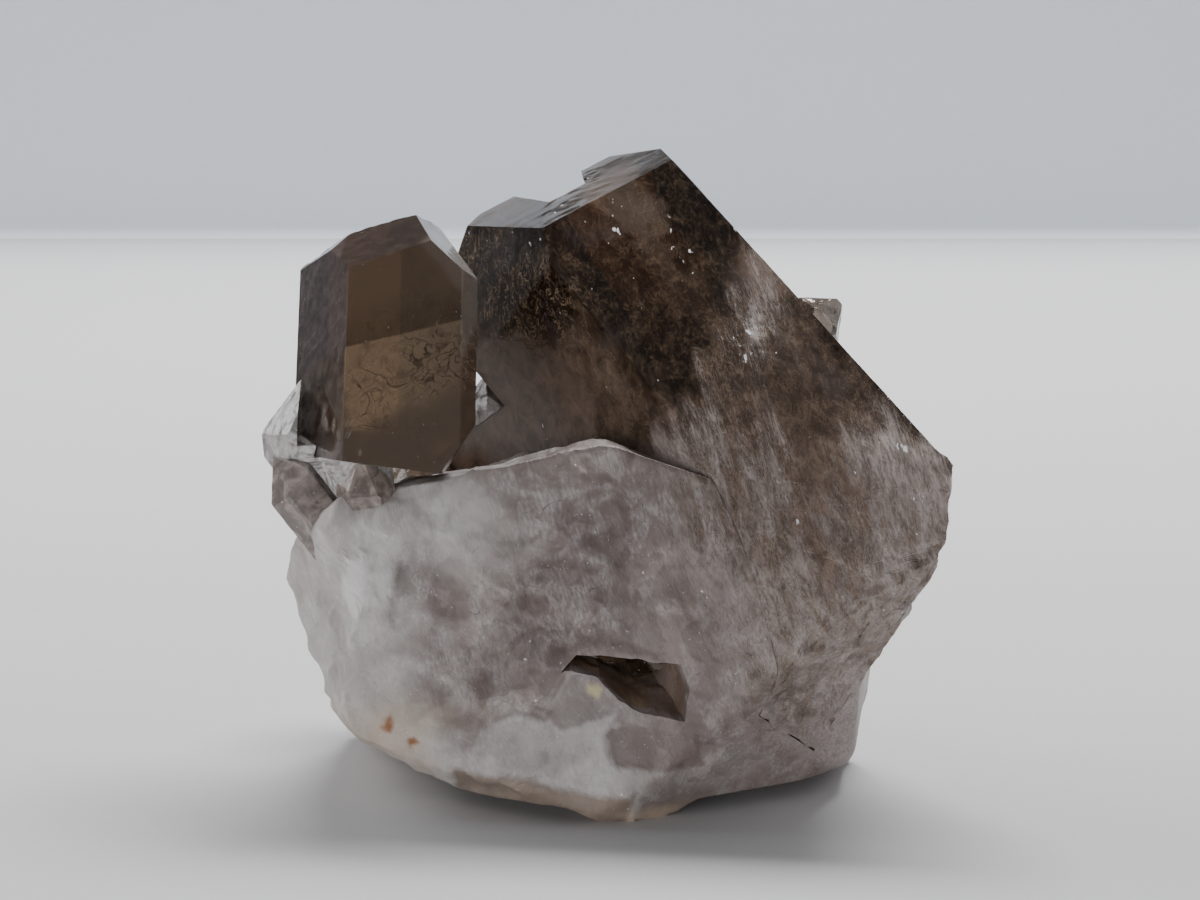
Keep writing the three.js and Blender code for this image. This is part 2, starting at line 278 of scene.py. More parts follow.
# Shade a piece smooth but for its sharp edges, and let it take its node's place on the one body
def finishPiece(piece, material, node, sharpAngle=34):
    piece.data.materials.clear()
    piece.data.materials.append(material)
    piece.data.polygons.foreach_set("use_smooth", np.ones(len(piece.data.polygons), bool))
    piece.data.set_sharp_from_angle(angle=math.radians(sharpAngle))
    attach(piece, "root")
    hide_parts(node)
    print(piece.name, len(piece.data.polygons), "faces")


# The big crystal's front face and the two walls under it
def frontPlanes():
    rows = [crystalPlane(mainCrystal, 0, 0, mainCrystal["prism"][0])]
    return rows + [breakPlane(*frontWalls[name]) for name in ("upper", "lower")]


# They are one face that bends: a point moves back to where the smooth maximum of its distances to them is
# nought
def roundWalls(points):
    rows = frontPlanes()
    spread = frontWalls["rounding"]
    for _ in range(2):
        far, lean = points @ rows[0][:3] - rows[0][3], np.tile(rows[0][:3], (len(points), 1))
        for row in rows[1:]:
            other = points @ row[:3] - row[3]
            part = np.clip(0.5 + 0.5 * (other - far) / spread, 0, 1)
            far = far * (1 - part) + other * part + spread * part * (1 - part)
            lean = lean * (1 - part)[:, None] + row[:3] * part[:, None]
        lean /= np.linalg.norm(lean, axis=1)[:, None]
        points = points - lean * np.maximum(far, 0)[:, None]
    return points


# Small unevenness that depends on place alone, so that faces stay joined; breaks are rougher
def wear(points, amount, size, seed):
    shift = np.stack([layeredNoise(points, size, 3, seed + 40 * k) for k in range(3)], axis=1)
    return points + shift * np.asarray(amount).reshape(-1, 1)


# 1 on any of the planes, falling to 0 at reach
def nearPlanes(points, rows, reach):
    gaps = np.abs(points @ rows[:, :3].T - rows[:, 3])
    return 1 - smoothStep(0, reach, gaps.min(axis=1))


# A scoop: a ball, stretched along a crystal's own directions and dented by noise
def scoop(name, crystal, spot, radii, seed, dent=0.12):
    around, rings = 56, 27
    turn = np.linspace(0, 2 * np.pi, around, endpoint=False)
    tilt = np.linspace(-np.pi / 2, np.pi / 2, rings + 2)[1:-1]
    ball = np.stack([
        np.outer(np.cos(tilt), np.cos(turn)), np.outer(np.cos(tilt), np.sin(turn)),
        np.outer(np.sin(tilt), np.ones(around)),
    ], axis=-1).reshape(-1, 3)
    ball = np.vstack([[0, 0, -1.0], ball, [0, 0, 1.0]])
    ball = ball * (1 + dent * layeredNoise(ball, 0.45, 3, seed))[:, None]
    local = np.array(spot) + ball * np.array(radii)
    points = np.array(crystal["axisPoint"]) + local @ axesOf(crystal)
    return makeObject(name, points, ringTriangles(rings, around))


# Camera at the photograph's angle, 12 degrees down
cameraView = dict(target=(-1.3, 0, 44.1), rise=12, distance=500, lens=114.5)


# Where points seem to lie from the front: millimetres across and up in the plane through the target
def seenFromFront(points):
    rise = math.radians(cameraView["rise"])
    target = np.array(cameraView["target"])
    offset = points - target
    near = offset @ np.array([0, -math.cos(rise), math.sin(rise)])
    scale = cameraView["distance"] / (cameraView["distance"] - near)
    up = offset @ np.array([0, math.sin(rise), math.cos(rise)])
    return np.stack([offset[:, 0] * scale + target[0], up * scale + target[2]], axis=1)


def makeCamera():
    rise = math.radians(cameraView["rise"])
    back = np.array([0, -math.cos(rise), math.sin(rise)])
    spot = (np.array(cameraView["target"]) - specimenMiddle + cameraView["distance"] * back) * mm
    lens = bpy.data.cameras.new("camera")
    lens.lens = cameraView["lens"]
    lens.sensor_width = 36
    lens.clip_start = 0.01
    camera = bpy.data.objects.new("camera", lens)
    camera.location = spot
    camera.rotation_euler = (math.pi / 2 - rise, 0, 0)
    bpy.context.scene.collection.objects.link(camera)
    bpy.context.scene.camera = camera


# Studio sizes are in metres
studio = dict(
    floorColour=(0.625, 0.625, 0.635), backColour=(0.79, 0.84, 0.91),
    bend=0.447, bendRadius=0.004, height=0.19, halfWidth=0.36, front=-0.55,
    world=(0.92, 0.92, 0.94), worldStrength=0.14,
)


# Floor and backdrop: a flat run, a quarter turn and a wall, carried straight across
def makeStage():
    turn = np.linspace(0, np.pi / 2, 9)
    radius = studio["bendRadius"]
    run = np.vstack([
        [[studio["front"], 0]],
        np.stack([studio["bend"] - radius + radius * np.sin(turn), radius - radius * np.cos(turn)], axis=1),
        [[studio["bend"], studio["height"]]],
    ])
    wide = studio["halfWidth"]
    parts = (("floor", run[:6], studio["floorColour"]), ("backdrop", run[5:], studio["backColour"]))
    for name, part, colour in parts:
        spots = np.vstack([np.insert(part, 0, -wide, axis=1), np.insert(part, 0, wide, axis=1)])
        count = len(part)
        quads = [(i, i + 1, count + i + 1, count + i)[::-1] for i in range(count - 1)]
        mesh = bpy.data.meshes.new(name)
        mesh.from_pydata(spots.tolist(), [], quads)
        sheet = bpy.data.objects.new(name, mesh)
        bpy.context.scene.collection.objects.link(sheet)
        mesh.materials.append(paperMaterial(name, colour))


# A new node: links and plain values go to its inputs, all else is a setting
def put(tree, kind, inputs=None, **settings):
    node = tree.nodes.new(kind)
    for name, value in settings.items():
        setattr(node, name, value)
    for name, value in (inputs or {}).items():
        if isinstance(value, bpy.types.NodeSocket):
            tree.links.new(value, node.inputs[name])
        else:
            node.inputs[name].default_value = value
    return node


# A colour part of the way from one to another, or the two blended
def mixed(tree, factor, first, second, blend="MIX"):
    node = put(tree, "ShaderNodeMix", {0: factor}, data_type="RGBA", blend_type=blend)
    for index, value in ((6, first), (7, second)):
        if isinstance(value, bpy.types.NodeSocket):
            tree.links.new(value, node.inputs[index])
        else:
            node.inputs[index].default_value = (*value, 1)
    return node.outputs[2]


# One step of sums on links or plain numbers
def sums(tree, operation, first, second=0.0, third=0.0, clamp=False):
    inputs = {0: first, 1: second, 2: third}
    return put(tree, "ShaderNodeMath", inputs, operation=operation, use_clamp=clamp).outputs[0]


# From one end of a range to the other, easing in and out
def ranged(tree, value, low, high, outLow=0.0, outHigh=1.0):
    inputs = {"Value": value, "From Min": low, "From Max": high, "To Min": outLow, "To Max": outHigh}
    return put(tree, "ShaderNodeMapRange", inputs, interpolation_type="SMOOTHSTEP").outputs[0]


# Layered noise from 0 to 1; scales are in cells a metre
def noiseOn(tree, place, scale, detail=4, roughness=0.55, distortion=0.0):
    inputs = {"Vector": place, "Scale": scale, "Detail": detail, "Roughness": roughness}
    return put(tree, "ShaderNodeTexNoise", inputs | {"Distortion": distortion}).outputs[0]


# A material with one shader, its output and Object coordinates to build on
def newMaterial(name):
    material = bpy.data.materials.new(name)
    material.use_nodes = True
    tree = material.node_tree
    tree.nodes.clear()
    shader = put(tree, "ShaderNodeBsdfPrincipled")
    out = put(tree, "ShaderNodeOutputMaterial", {"Surface": shader.outputs[0]})
    place = put(tree, "ShaderNodeTexCoord").outputs["Object"]
    return SimpleNamespace(material=material, tree=tree, shader=shader, out=out, place=place)


# A colour made darker or lighter
def scaled(colour, part):
    return [min(1, c * part) for c in colour]


# Object coordinates turned to a piece's own directions and stretched along them
def stretched(tree, place, rows, scales):
    outputs = []
    for row, scale in zip(rows, scales):
        dot = put(tree, "ShaderNodeVectorMath", {0: place, 1: tuple(row * scale)}, operation="DOT_PRODUCT")
        outputs.append(dot.outputs["Value"])
    return put(tree, "ShaderNodeCombineXYZ", {0: outputs[0], 1: outputs[1], 2: outputs[2]}).outputs[0]


# Matt paper with a faint grain
def paperMaterial(name, colour):
    parts = newMaterial(name)
    tree, shader = parts.tree, parts.shader
    grain = ranged(tree, noiseOn(tree, parts.place, 900, 3), 0.3, 0.7)
    tree.links.new(mixed(tree, grain, colour, scaled(colour, 0.985)), shader.inputs["Base Color"])
    shader.inputs["Roughness"].default_value = 0.9
    shader.inputs["Specular IOR Level"].default_value = 0.1
    return parts.material


# A number painted on the piece
def attribute(tree, name):
    return put(tree, "ShaderNodeAttribute", attribute_name=name).outputs["Fac"]


# Big crystal: an axis point, where its tip points, its prism faces' distances and its tip faces' heights
mainCrystal = dict(
    axisPoint=(22.6, 8.2, 36.3), heading=-38.6, rise=30.8, roll=-27.1,
    prism=(20.9, 22, 10, 12, 18.7, 20.4), tip={0: 68.9, 60: 75, 180: 55.2}, lowEnd=-46,
    facets=((-55.5, 17.6, 31.2), (67, 0, 19.2), (-74, 57.7, 57.6)),
    breaks=(
        frontWalls["upper"], frontWalls["lower"], frontWalls["frontUndercut"], frontWalls["rightUndercut"],
        (93, -8, (42.9, -18.4, 43.2)), (93, -29.5, (39.2, -19, 29)), (180, -90, (0, 0, 3)),
    ),
    spacing=0.62,
    notchTip=34, rightBladeTip=46.5, leftBladeEdge=-2.8, rightBladeEdge=-9.5,
    # chips off the edges: place and radii in the crystal's own directions
    chips=(
        ((-2.3, 47, 23.5), (1.6, 2.2, 3.6)), ((-12.2, 14, 22.7), (1.4, 2.0, 2.4)),
        ((-12.6, 1.5, 22.3), (1.5, 3.0, 2.0)), ((12.6, 27, 21.8), (0.9, 1.8, 1.4)),
        ((13, 12, 21.7), (0.8, 2.4, 1.3)),
    ),
)


# The notch between the blades, and the right blade's lower top
def notchTools():
    leftSide = -crystalPlane(mainCrystal, 90, 0, mainCrystal["leftBladeEdge"])
    rightSide = -crystalPlane(mainCrystal, -120, 0, mainCrystal["rightBladeEdge"])
    beyond = [crystalPlane(mainCrystal, turn, 0, 40) for turn in prismTurns]
    beyond.append(crystalPlane(mainCrystal, 0, 90, 90))
    notch = [-tipPlane(mainCrystal, 180, mainCrystal["notchTip"]), leftSide, rightSide]
    top = [-tipPlane(mainCrystal, 180, mainCrystal["rightBladeTip"]), leftSide + np.array([0, 0, 0, 0.1])]
    tools = []
    for name, planes in (("notch", notch), ("bladeTop", top)):
        points, triangles = facetedBody(np.array(planes + beyond), 0.7)
        tools.append(makeObject(name, wear(points, 0.04, 4, 5), triangles))
    return tools


# A low blade grown on flush with the left one, its slanting end closing the gap under the left crystal
def bladePlanes():
    return np.array([
        crystalPlane(mainCrystal, -60, 0, 20.43), crystalPlane(mainCrystal, 120, 0, -7.4),
        breakPlane(-78, 53, (-14.1, 20.7, 45.8)), crystalPlane(mainCrystal, 90, 0, -14),
        breakPlane(180, -90, (0, 0, 30)), breakPlane(180, 0, (0, 8, 0)), breakPlane(0, 20, (0, 30, 42)),
    ])


def lowBlade():
    points, triangles = facetedBody(bladePlanes(), 0.8)
    blade = makeObject("lowBlade", wear(points, 0.02, 2.2, 21), triangles)
    combine(blade, plainTool(leftCrystal, 0.15))
    return blade


# Growth lines: noise drawn out sideways, so that its lines run across the prism faces
def growthLines(points, crystal, along, aside, seed):
    across, axis, front = axesOf(crystal)
    spots = np.stack([points @ axis * along, points @ front * aside, points @ across * aside], axis=1)
    return latticeNoise(spots, seed)


# Growth lines on the prism faces, shallow hollows on the tip and deep ones on the breaks
def mainRelief(points, normal):
    across, axis, front = axesOf(mainCrystal)
    if abs(normal @ axis) < 0.01:
        relief = growthLines(points, mainCrystal, 1.6, 0.08, 3) * 0.012 + scallops(points, 14, 0.2, 0.6, 8)
        if normal @ front > 0.9:
            relief -= markOf(points, mainMarks["scar"], 1.6, 1.2, 14) * 0.14
        return relief
    if (normal @ axis) > 0.3:
        return scallops(points, 12, 0.06, 0.6, 9)
    return layeredNoise(points, 3, 4, 11) * 0.2 + scallops(points, 7, 0.9, 0.6, 12)


etched = np.array([0.29, -0.956, -0.778])  # the way the etched fibres run
etched /= np.linalg.norm(etched)


# Points in the fibres' directions, squeezed along them, so that noise there comes out as fibres
def alongFibres(points, wall):
    return np.stack([points @ np.cross(wall, etched), points @ etched * 0.22, points @ wall], axis=1)


# Outlines as seen from the front
mainMarks = dict(
    veilEdge=(
        (-6.5, 40.2), (4, 43.6), (7, 47.8), (10, 53), (13.5, 59.5), (15.5, 65), (18.5, 68.5), (22, 68),
        (48, 42), (48, -20), (-50, -20), (-50, 40.2),
    ),
    scar=(
        (-4.4, 79.6), (0.6, 82), (3.6, 80.6), (6.6, 76.5), (9.6, 69), (17.4, 57.5), (14.5, 57), (6.5, 67.5),
        (-0.3, 74.2),
    ),
    hazyFace=((-16, 60), (-9, 57), (-3, 60), (7, 50), (8, 40), (-24, 36), (-20, 50)),
    mossyFace=((-21, 72.3), (-14.4, 74.5), (-6.5, 68), (-5, 60), (-12, 57), (-18.3, 60)),
    crumbledEdges=(
        (-22, 75), (-20, 76), (-18, 71.5), (-12, 71), (-8, 76), (-5, 84), (-2, 84), (-1.5, 80), (2, 77.5),
        (5, 73), (-4, 72.5), (-13, 68), (-19, 66),
    ),
    glints=(
        (0.6, 73.6), (7.8, 71.8), (9.9, 69.8), (11.2, 68.0), (17.9, 59.1), (17.6, 56.5), (26.6, 45.6),
        (38.3, 43.9), (40.2, 37.3),
    ),
)

# Soft patches on the front, as seen from there: strength, middle, half width, half height, lean
frontPatches = dict(
    brown=(
        (1, (25.6, 50), 3.6, 11, -8), (0.8, (28, 33), 6, 13, -14), (0.8, (24.5, 56), 9, 5, -45),
        (0.7, (31, 50), 5, 6, 0), (0.8, (23, 12.5), 2.5, 6, -35), (0.6, (16, 37), 3, 5, -20),
        (0.5, (15, 49), 6, 6, 0),
    ),
    white=(
        (1, (5.2, 41), 6, 9, 0), (0.8, (12, 22), 7, 11, -15), (1, (16, 4), 12, 4, 0),
        (0.8, (31.4, 7), 5, 7, 0), (0.6, (39, 41), 5, 7, 0), (0.6, (18, 60), 2, 7, -20),
        (0.5, (12, 58), 1.5, 3, -30),
    ),
)


# Inside an outline seen from the front, with a ragged soft edge
def markOf(points, outline, soft, rough, seed):
    gap = outlineDistance(seenFromFront(points), outline)
    return smoothStep(soft, -soft, gap + rough * layeredNoise(points, 2.4, 4, seed))


# A soft round patch seen from the front, its long side leaning from upright
def patchOf(points, centre, across, up, lean=0):
    offset = seenFromFront(points) - np.array(centre)
    lean = math.radians(lean)
    side = offset[:, 0] * math.cos(lean) - offset[:, 1] * math.sin(lean)
    rise = offset[:, 0] * math.sin(lean) + offset[:, 1] * math.cos(lean)
    return np.exp(-(side / across) ** 2 - (rise / up) ** 2)


# A list of soft patches, each with its strength, added up
def patchesOf(points, patches):
    return sum(strength * patchOf(points, *patch) for strength, *patch in patches)


# The whitish veil begins at an outline and covers all below it, its edge drawn out along the fibres
def veilAt(points):
    flow = alongFibres(points, breakPlane(*frontWalls["upper"])[:3])
    gap = outlineDistance(seenFromFront(points), mainMarks["veilEdge"])
    return smoothStep(3.2, -3.2, gap + 3.4 * layeredNoise(flow, 3.4, 4, 91))


# Milk: from the root's grey cloud it thins out to the right over the big crystal
def milkAt(points):
    seen = seenFromFront(points)
    edge = 8.5 + (37.5 - seen[:, 1]) * 0.36
    return smoothStep(7.5, -7.5, seen[:, 0] - edge + 4 * layeredNoise(points, 6, 4, 93))


# 1 in front and 0 behind: the bound lies further back on the right and low down
def frontOf(points):
    right = np.maximum(points[:, 0] - 18, 0)
    low = np.maximum(22 - points[:, 2], 0)
    return smoothStep(2, -6, points[:, 1] - 0.5 * right - 0.6 * low)


# Put a piece's points where they should be, in the specimen's millimetres
def movePoints(piece, points):
    piece.data.vertices.foreach_set("co", ((points - specimenMiddle) * mm).astype(np.float32).ravel())
    piece.data.update()


# Both pieces of the front carry the same low relief, so that it runs on from one to the other: lumps, and
# fibres on the right, fading at the tips, at the foot and away from the front faces
def frontRelief(piece):
    points = pointsOf(piece)
    axis, origin = axesOf(mainCrystal)[1], np.array(mainCrystal["axisPoint"])
    wall = breakPlane(*frontWalls["lower"])[:3]
    relief = 0.25 * layeredNoise(points, 8, 4, 31)
    relief += smoothStep(-2, 10, points[:, 0]) * 0.09 * layeredNoise(alongFibres(points, wall), 1.1, 3, 13)
    low = smoothStep(7, -3, points @ axis - origin @ axis - 12)
    tips = smoothStep(24, 18, (points - origin) @ axis)
    face = np.maximum.reduce([points @ row[:3] - row[3] for row in frontPlanes()])
    amount = relief * smoothStep(-9, -4, face) * np.where(points[:, 0] > 4, low, tips)
    amount *= smoothStep(0.5, 4, points[:, 2])
    movePoints(piece, points + wall * amount[:, None])


# Wear by an amount that each place has
def crumble(piece, amount, size, seed):
    points = pointsOf(piece)
    movePoints(piece, wear(points, amount(points), size, seed))


# Big crystal: a faceted body bent along its walls, joined with the low blade, notched and chipped
def makeMainCrystals():
    planes = planesOf(mainCrystal)
    points, triangles = facetedBody(planes, mainCrystal["spacing"], relief=mainRelief)
    broken = np.array([breakPlane(*one) for one in mainCrystal["breaks"][2:6]])
    rough = 0.006 + 0.4 * nearPlanes(points, broken, 2.5)
    points = wear(roundWalls(points), rough, 2.2, 21)
    piece = makeObject("mainCrystals", points, triangles)
    combine(piece, lowBlade(), "UNION")
    for tool in notchTools():
        combine(piece, tool)
    for number, (spot, radii) in enumerate(mainCrystal["chips"]):
        combine(piece, scoop("chip", mainCrystal, spot, radii, 60 + number, 0.2))
    crumble(piece, lambda points: 0.05 * markOf(points, mainMarks["crumbledEdges"], 1, 1, 61), 3, 62)
    return piece


# What the front is painted with, the same for the big crystal and the root where they meet: how far in front
# it is, and how much veil, haze and milk it has
def frontPaint(points):
    row = frontPlanes()[0]
    front = np.maximum(frontOf(points), smoothStep(-9, -4, points @ row[:3] - row[3]))
    high = seenFromFront(points)[:, 1]
    veil = veilAt(points)
    brown = patchesOf(points, frontPatches["brown"]) + 0.5 * smoothStep(42, 54, high)
    white = patchesOf(points, frontPatches["white"])
    cover = veil * front * np.clip(0.62 + 0.38 * white - 0.36 * brown, 0.12, 1)
    haze = 0.85 - 0.4 * smoothStep(38, 52, high) + 0.3 * patchOf(points, (36, 32), 9, 14)
    return front, cover, veil * np.clip(haze, 0, 1), milkAt(points) * front


# The big crystal's veil, milk, moss, scar, haze and glints
def paintCrystals(piece):
    points = pointsOf(piece)
    seen = seenFromFront(points)
    front, cover, low, milk = frontPaint(points)
    paint(piece, "veil", cover)
    paint(piece, "milk", milk * smoothStep(3, -3, seen[:, 1] - 44))
    paint(piece, "moss", 0.15 + 0.85 * markOf(points, mainMarks["mossyFace"], 3, 2, 63))
    fading = 0.3 + 0.5 * smoothStep(64, 78, seen[:, 1])
    paint(piece, "scar", markOf(points, mainMarks["scar"], 1.2, 2.2, 14) * front * fading)
    haze = markOf(points, mainMarks["hazyFace"], 4, 2.5, 64) * (0.7 + 0.25 * layeredNoise(points, 5, 4, 65))
    haze += patchOf(points, (-13, 50), 8, 8) + 0.6 * patchOf(points, (20, 68), 4, 3)
    paint(piece, "haze", haze + low)
    # Glints are painted highlights, round the listed glint spots and over the crumbled edges
    gap = np.linalg.norm(seen[:, None] - np.array(mainMarks["glints"])[None], axis=2).min(axis=1)
    crumbled = markOf(points, mainMarks["crumbledEdges"], 1, 1, 61)
    paint(piece, "glint", smoothStep(1.9, 0.4, gap) * front + 0.3 * crumbled)


rootStone = dict(
    centre=(-3, 1, 20),
    faces=(
        (180, -90, (0, 0, 0)), frontWalls["lower"], frontWalls["upper"], frontWalls["frontUndercut"],
        frontWalls["rightUndercut"], (198, 13, (-14, -20, 28)), (236, 12, (-33, -12, 30)),
        (268, -4, (-42, 0, 25)), (262, -24, (-36, -5, 8)), (245, -62, (-28, -8, 5)),
        (207, -45, (-9, -18.5, 0)), (99, -6, (33.2, -8, 16)), (60, -10, (32, 12, 14)), (88, 48, (32, 0, 26)),
        (0, 10, (0, 28, 18)), (-52, 4, (-34, 20, 20)), (-6, -48, (0, 25, 3)), (-37, 73.8, (-1.3, -13, 47.8)),
        (59, 69, (5.9, -12, 45.2)), (-72, 56, (-30, -6, 40)), (-90, 32, (-41.5, 0, 31)),
    ),
    # The two top faces, which carry painted shade near the front
    topFaces=(17, 18),
    # break scars: heading and rise from the centre, radius of the scooping ball, depth
    scars=(
        (224, 28, 26, 1.3), (214, 5, 34, 0.9), (248, 14, 18, 1.6), (262, -10, 20, 1.4), (236, -24, 16, 1.4),
        (200, -24, 22, 1.2),
    ),
    backScars=14, backRadius=21, backDepth=1.3,
    around=430, rings=225, chips=70, rimLift=2.0,
)

# Outlines as seen from the front: how far a plate stands out, then what it is painted with and how much
rootMarks = dict(
    lobe=dict(
        outline=(
            (-7.5, 11.8), (-5, 14.8), (-2.6, 15.2), (-0.5, 14), (1.6, 11.4), (1.1, 9.4), (-0.5, 6.4),
            (0.3, 2.8), (-3.9, 1.1), (-10.5, 0.6), (-14.8, 1.5), (-18.5, 3.5), (-17, 7.5), (-12.5, 9.6),
            (-8.5, 8.8),
        ),
        height=0.6, pale=0.45,
    ),
    lobeTop=dict(
        outline=(
            (-7.2, 11.6), (-5, 14.6), (-2.6, 15), (-0.5, 13.8), (1.4, 11.4), (0.5, 9.4), (-2.3, 8.3),
            (-6, 7.2), (-8.2, 9),
        ),
        height=0, shade=0.85,
    ),
    band=dict(
        outline=(
            (-34, 34.9), (-29.5, 37.6), (-27.5, 40.8), (-23.3, 40.2), (-22, 37.6), (-25.5, 33.6),
            (-27.2, 29.7), (-28.5, 24.5), (-29.5, 19.2), (-34, 17.9), (-35.6, 23.1), (-35.1, 29.7),
        ),
        height=0.5, pale=0.7,
    ),
    upperFlake=dict(
        outline=((-32.5, 36.9), (-26.1, 37.6), (-25.5, 35.2), (-28.4, 32.6), (-33, 33.4)),
        height=0.5, pale=0.9,
    ),
    lowerFlake=dict(
        outline=((-34.7, 30.2), (-31.7, 30.7), (-30.6, 24.8), (-33.3, 21.5), (-35.4, 25.1)),
        height=0.6, pale=1.0,
    ),
    topFlake=dict(
        outline=((-27, 40.4), (-20.3, 39.9), (-19.5, 37.9), (-21.2, 33.7), (-24.5, 36.9)),
        height=0.2, pale=0.6,
    ),
    greyFacet=dict(
        outline=(
            (-27.8, 29), (-22.3, 29.7), (-17, 24.5), (-18.3, 17.9), (-23.6, 16.6), (-29.5, 17.9),
            (-28.8, 24.5),
        ),
        height=-0.3, shade=0.35,
    ),
    purpleFacet=dict(
        outline=((-0.3, 6.8), (1.6, 8.5), (5.9, 7.7), (11.8, 6.8), (12.5, 2.8), (6.6, 1.9), (0.7, 2.4)),
        height=-0.3, shade=1.0,
    ),
    brownFacet=dict(
        outline=((3.9, 8.8), (7.6, 8.9), (13.4, 8.4), (13.9, 4.8), (10.5, 2.5), (5.9, 6.5)),
        height=0, shade=0.7,
    ),
    smear=dict(
        outline=((-1.6, 19.2), (2.6, 18.9), (7.6, 17.3), (6.2, 16.5), (1.3, 17.4)),
        height=0, shade=1.0,
    ),
    # The under faces: painted shade where they face the floor, with a little warm tan
    underFace=dict(
        outline=(
            (-20.3, 1.9), (-13, 0.9), (-6.5, -0.5), (2.6, -1.7), (3.6, -0.9), (2, -6.5), (-1.3, -6.6),
            (-20, -4.4),
        ),
        height=-0.6, shade=1.0, warm=0.3,
    ),
    # Painted shade on the underside to the right of the keel
    underRight=dict(
        outline=((4.2, -1.2), (12, -2.3), (30, 1.2), (36, 3), (34, -5), (10, -7), (3, -6)),
        height=0, shade=0.7,
    ),
)

# Rust spots and a yellow stain on the root, as seen from the front
rustSpots = ((-28.8, 8.3), (-26.2, 5.7))
yellowStain = ((-3, 13.4), (-1.2, 12.8), (-1.6, 11.8), (-2.8, 12.4))


# Signed distance to a closed outline in a plane, negative inside
def outlineDistance(flat, outline):
    outline = np.array(outline, float)
    best = np.full(len(flat), 1e9)
    crossings = np.zeros(len(flat), int)
    for start, end in zip(outline, np.roll(outline, -1, axis=0)):
        side = end - start
        part = np.clip((flat - start) @ side / (side @ side), 0, 1)
        best = np.minimum(best, np.linalg.norm(flat - start - part[:, None] * side, axis=1))
        if start[1] != end[1]:
            above = (start[1] > flat[:, 1]) != (end[1] > flat[:, 1])
            across = start[0] + (flat[:, 1] - start[1]) * side[0] / side[1]
            crossings += above & (flat[:, 0] < across)
    return np.where(crossings % 2, -best, best)


# Root: from its centre, the distance to the nearest of its planes, chips and scooping balls in each
# direction, its edges a little rounded
def makeRoot():
    centre = np.array(rootStone["centre"], float)
    planes = np.array([breakPlane(*face) for face in rootStone["faces"]] + frontPlanes()[:1])
    around, rings = rootStone["around"], rootStone["rings"]
    turn = np.linspace(-np.pi, np.pi, around, endpoint=False)
    turn = turn - 0.42 * np.sin(turn)  # closer together in front, at turn 0
    tilt = np.linspace(-np.pi / 2, np.pi / 2, rings + 2)[1:-1]
    aim = np.stack([
        -np.outer(np.cos(tilt), np.sin(turn)), -np.outer(np.cos(tilt), np.cos(turn)),
        np.outer(np.sin(tilt), np.ones(around)),
    ], axis=-1).reshape(-1, 3)
    aim = np.vstack([[0, 0, -1.0], aim, [0, 0, 1.0]])

    def reachOf(rows):
        facing = aim @ rows[:, :3].T
        gaps = rows[:, 3] - rows[:, :3] @ centre
        return np.where(facing > 1e-6, gaps / np.maximum(facing, 1e-6), 1e9)

    reach = reachOf(planes)
    corners = cornersOf(planes)
    random = np.random.default_rng(7)
    tilted = random.normal(size=(rootStone["chips"], 3))
    tilted /= np.linalg.norm(tilted, axis=1)[:, None]
    tilted = tilted[(tilted[:, 2] > -0.75) & ((tilted[:, 1] > 0.45) | (tilted[:, 0] < 0.1))]
    support = (corners @ tilted.T).max(axis=0) - random.uniform(0.3, 1.6, len(tilted))
    reach = np.hstack([reach, reachOf(np.column_stack([tilted, support]))])
    nearest = reach.min(axis=1)
    soft = 0.35
    distance = nearest - soft * np.log(np.exp(-(reach - nearest[:, None]) / soft).sum(axis=1))
    balls = list(rootStone["scars"])
    count = rootStone["backScars"]
    for number in range(count):
        heading, rise = 90 - (number * 137.5) % 180, -24 + 60 * number / count
        balls.append((heading, rise, rootStone["backRadius"], rootStone["backDepth"]))
    for heading, rise, radius, depth in balls:
        outward = direction(heading, rise)
        facing = planes[:, :3] @ outward
        gaps = (planes[:, 3] - planes[:, :3] @ centre) / np.where(facing > 1e-6, facing, np.nan)
        face = np.nanargmin(gaps)
        ball = outward * gaps[face] + planes[face, :3] * (radius - depth)
        along = aim @ ball
        dip = along ** 2 - ball @ ball + radius ** 2
        entry = along - np.sqrt(np.maximum(dip, 0))
        distance = np.where((dip > 0) & (entry > 0), np.minimum(distance, entry), distance)
    points = roundWalls(centre + aim * distance[:, None])
    still = smoothStep(-2, 6, points[:, 0]) * frontOf(points)  # even where it joins the big crystal's front
    grain = scallops(points, 11, 2.2, 0.6, 35) + scallops(points, 4.2, 0.5, 0.7, 36)
    grain = (grain + 0.1 * layeredNoise(points, 2, 3, 37)) * (1 - still)
    # a shoulder round the small crystals' feet
    grain += 4.2 * patchOf(points, (-31.5, 32.5), 6, 5) * frontOf(points)
    points = points + aim * (grain * smoothStep(0.2, 4, points[:, 2]))[:, None]
    wall = breakPlane(*frontWalls["lower"])[:3]
    for number, mark in enumerate(rootMarks.values()):
        if mark["height"]:
            plate = markOf(points, mark["outline"], 0.7, 0.5, 100 + number) * frontOf(points)
            points = points + wall * (plate * mark["height"])[:, None]
    points[:, 2] = np.where(points[:, 2] < 0.25, 0, points[:, 2])
    inward = reach[:, 1:].min(axis=1) / reach[:, 0]  # above 1 on the base, falling to 1 at its rim
    rim = rootStone["rimLift"] * smoothStep(1.5, 1.02, inward) * smoothStep(4, 9, np.abs(points[:, 0] - 3))
    points[:, 2] = np.maximum(points[:, 2], rim)
    return makeObject("milkyRoot", points, ringTriangles(rings, around)[:, ::-1])


# How much of each mark a place has: the most that any of the outlines gives it
def rootMarkAt(points, kind):
    total = np.zeros(len(points))
    for number, mark in enumerate(rootMarks.values()):
        if kind in mark:
            total = np.maximum(total, mark[kind] * markOf(points, mark["outline"], 0.35, 0.35, 100 + number))
    return total
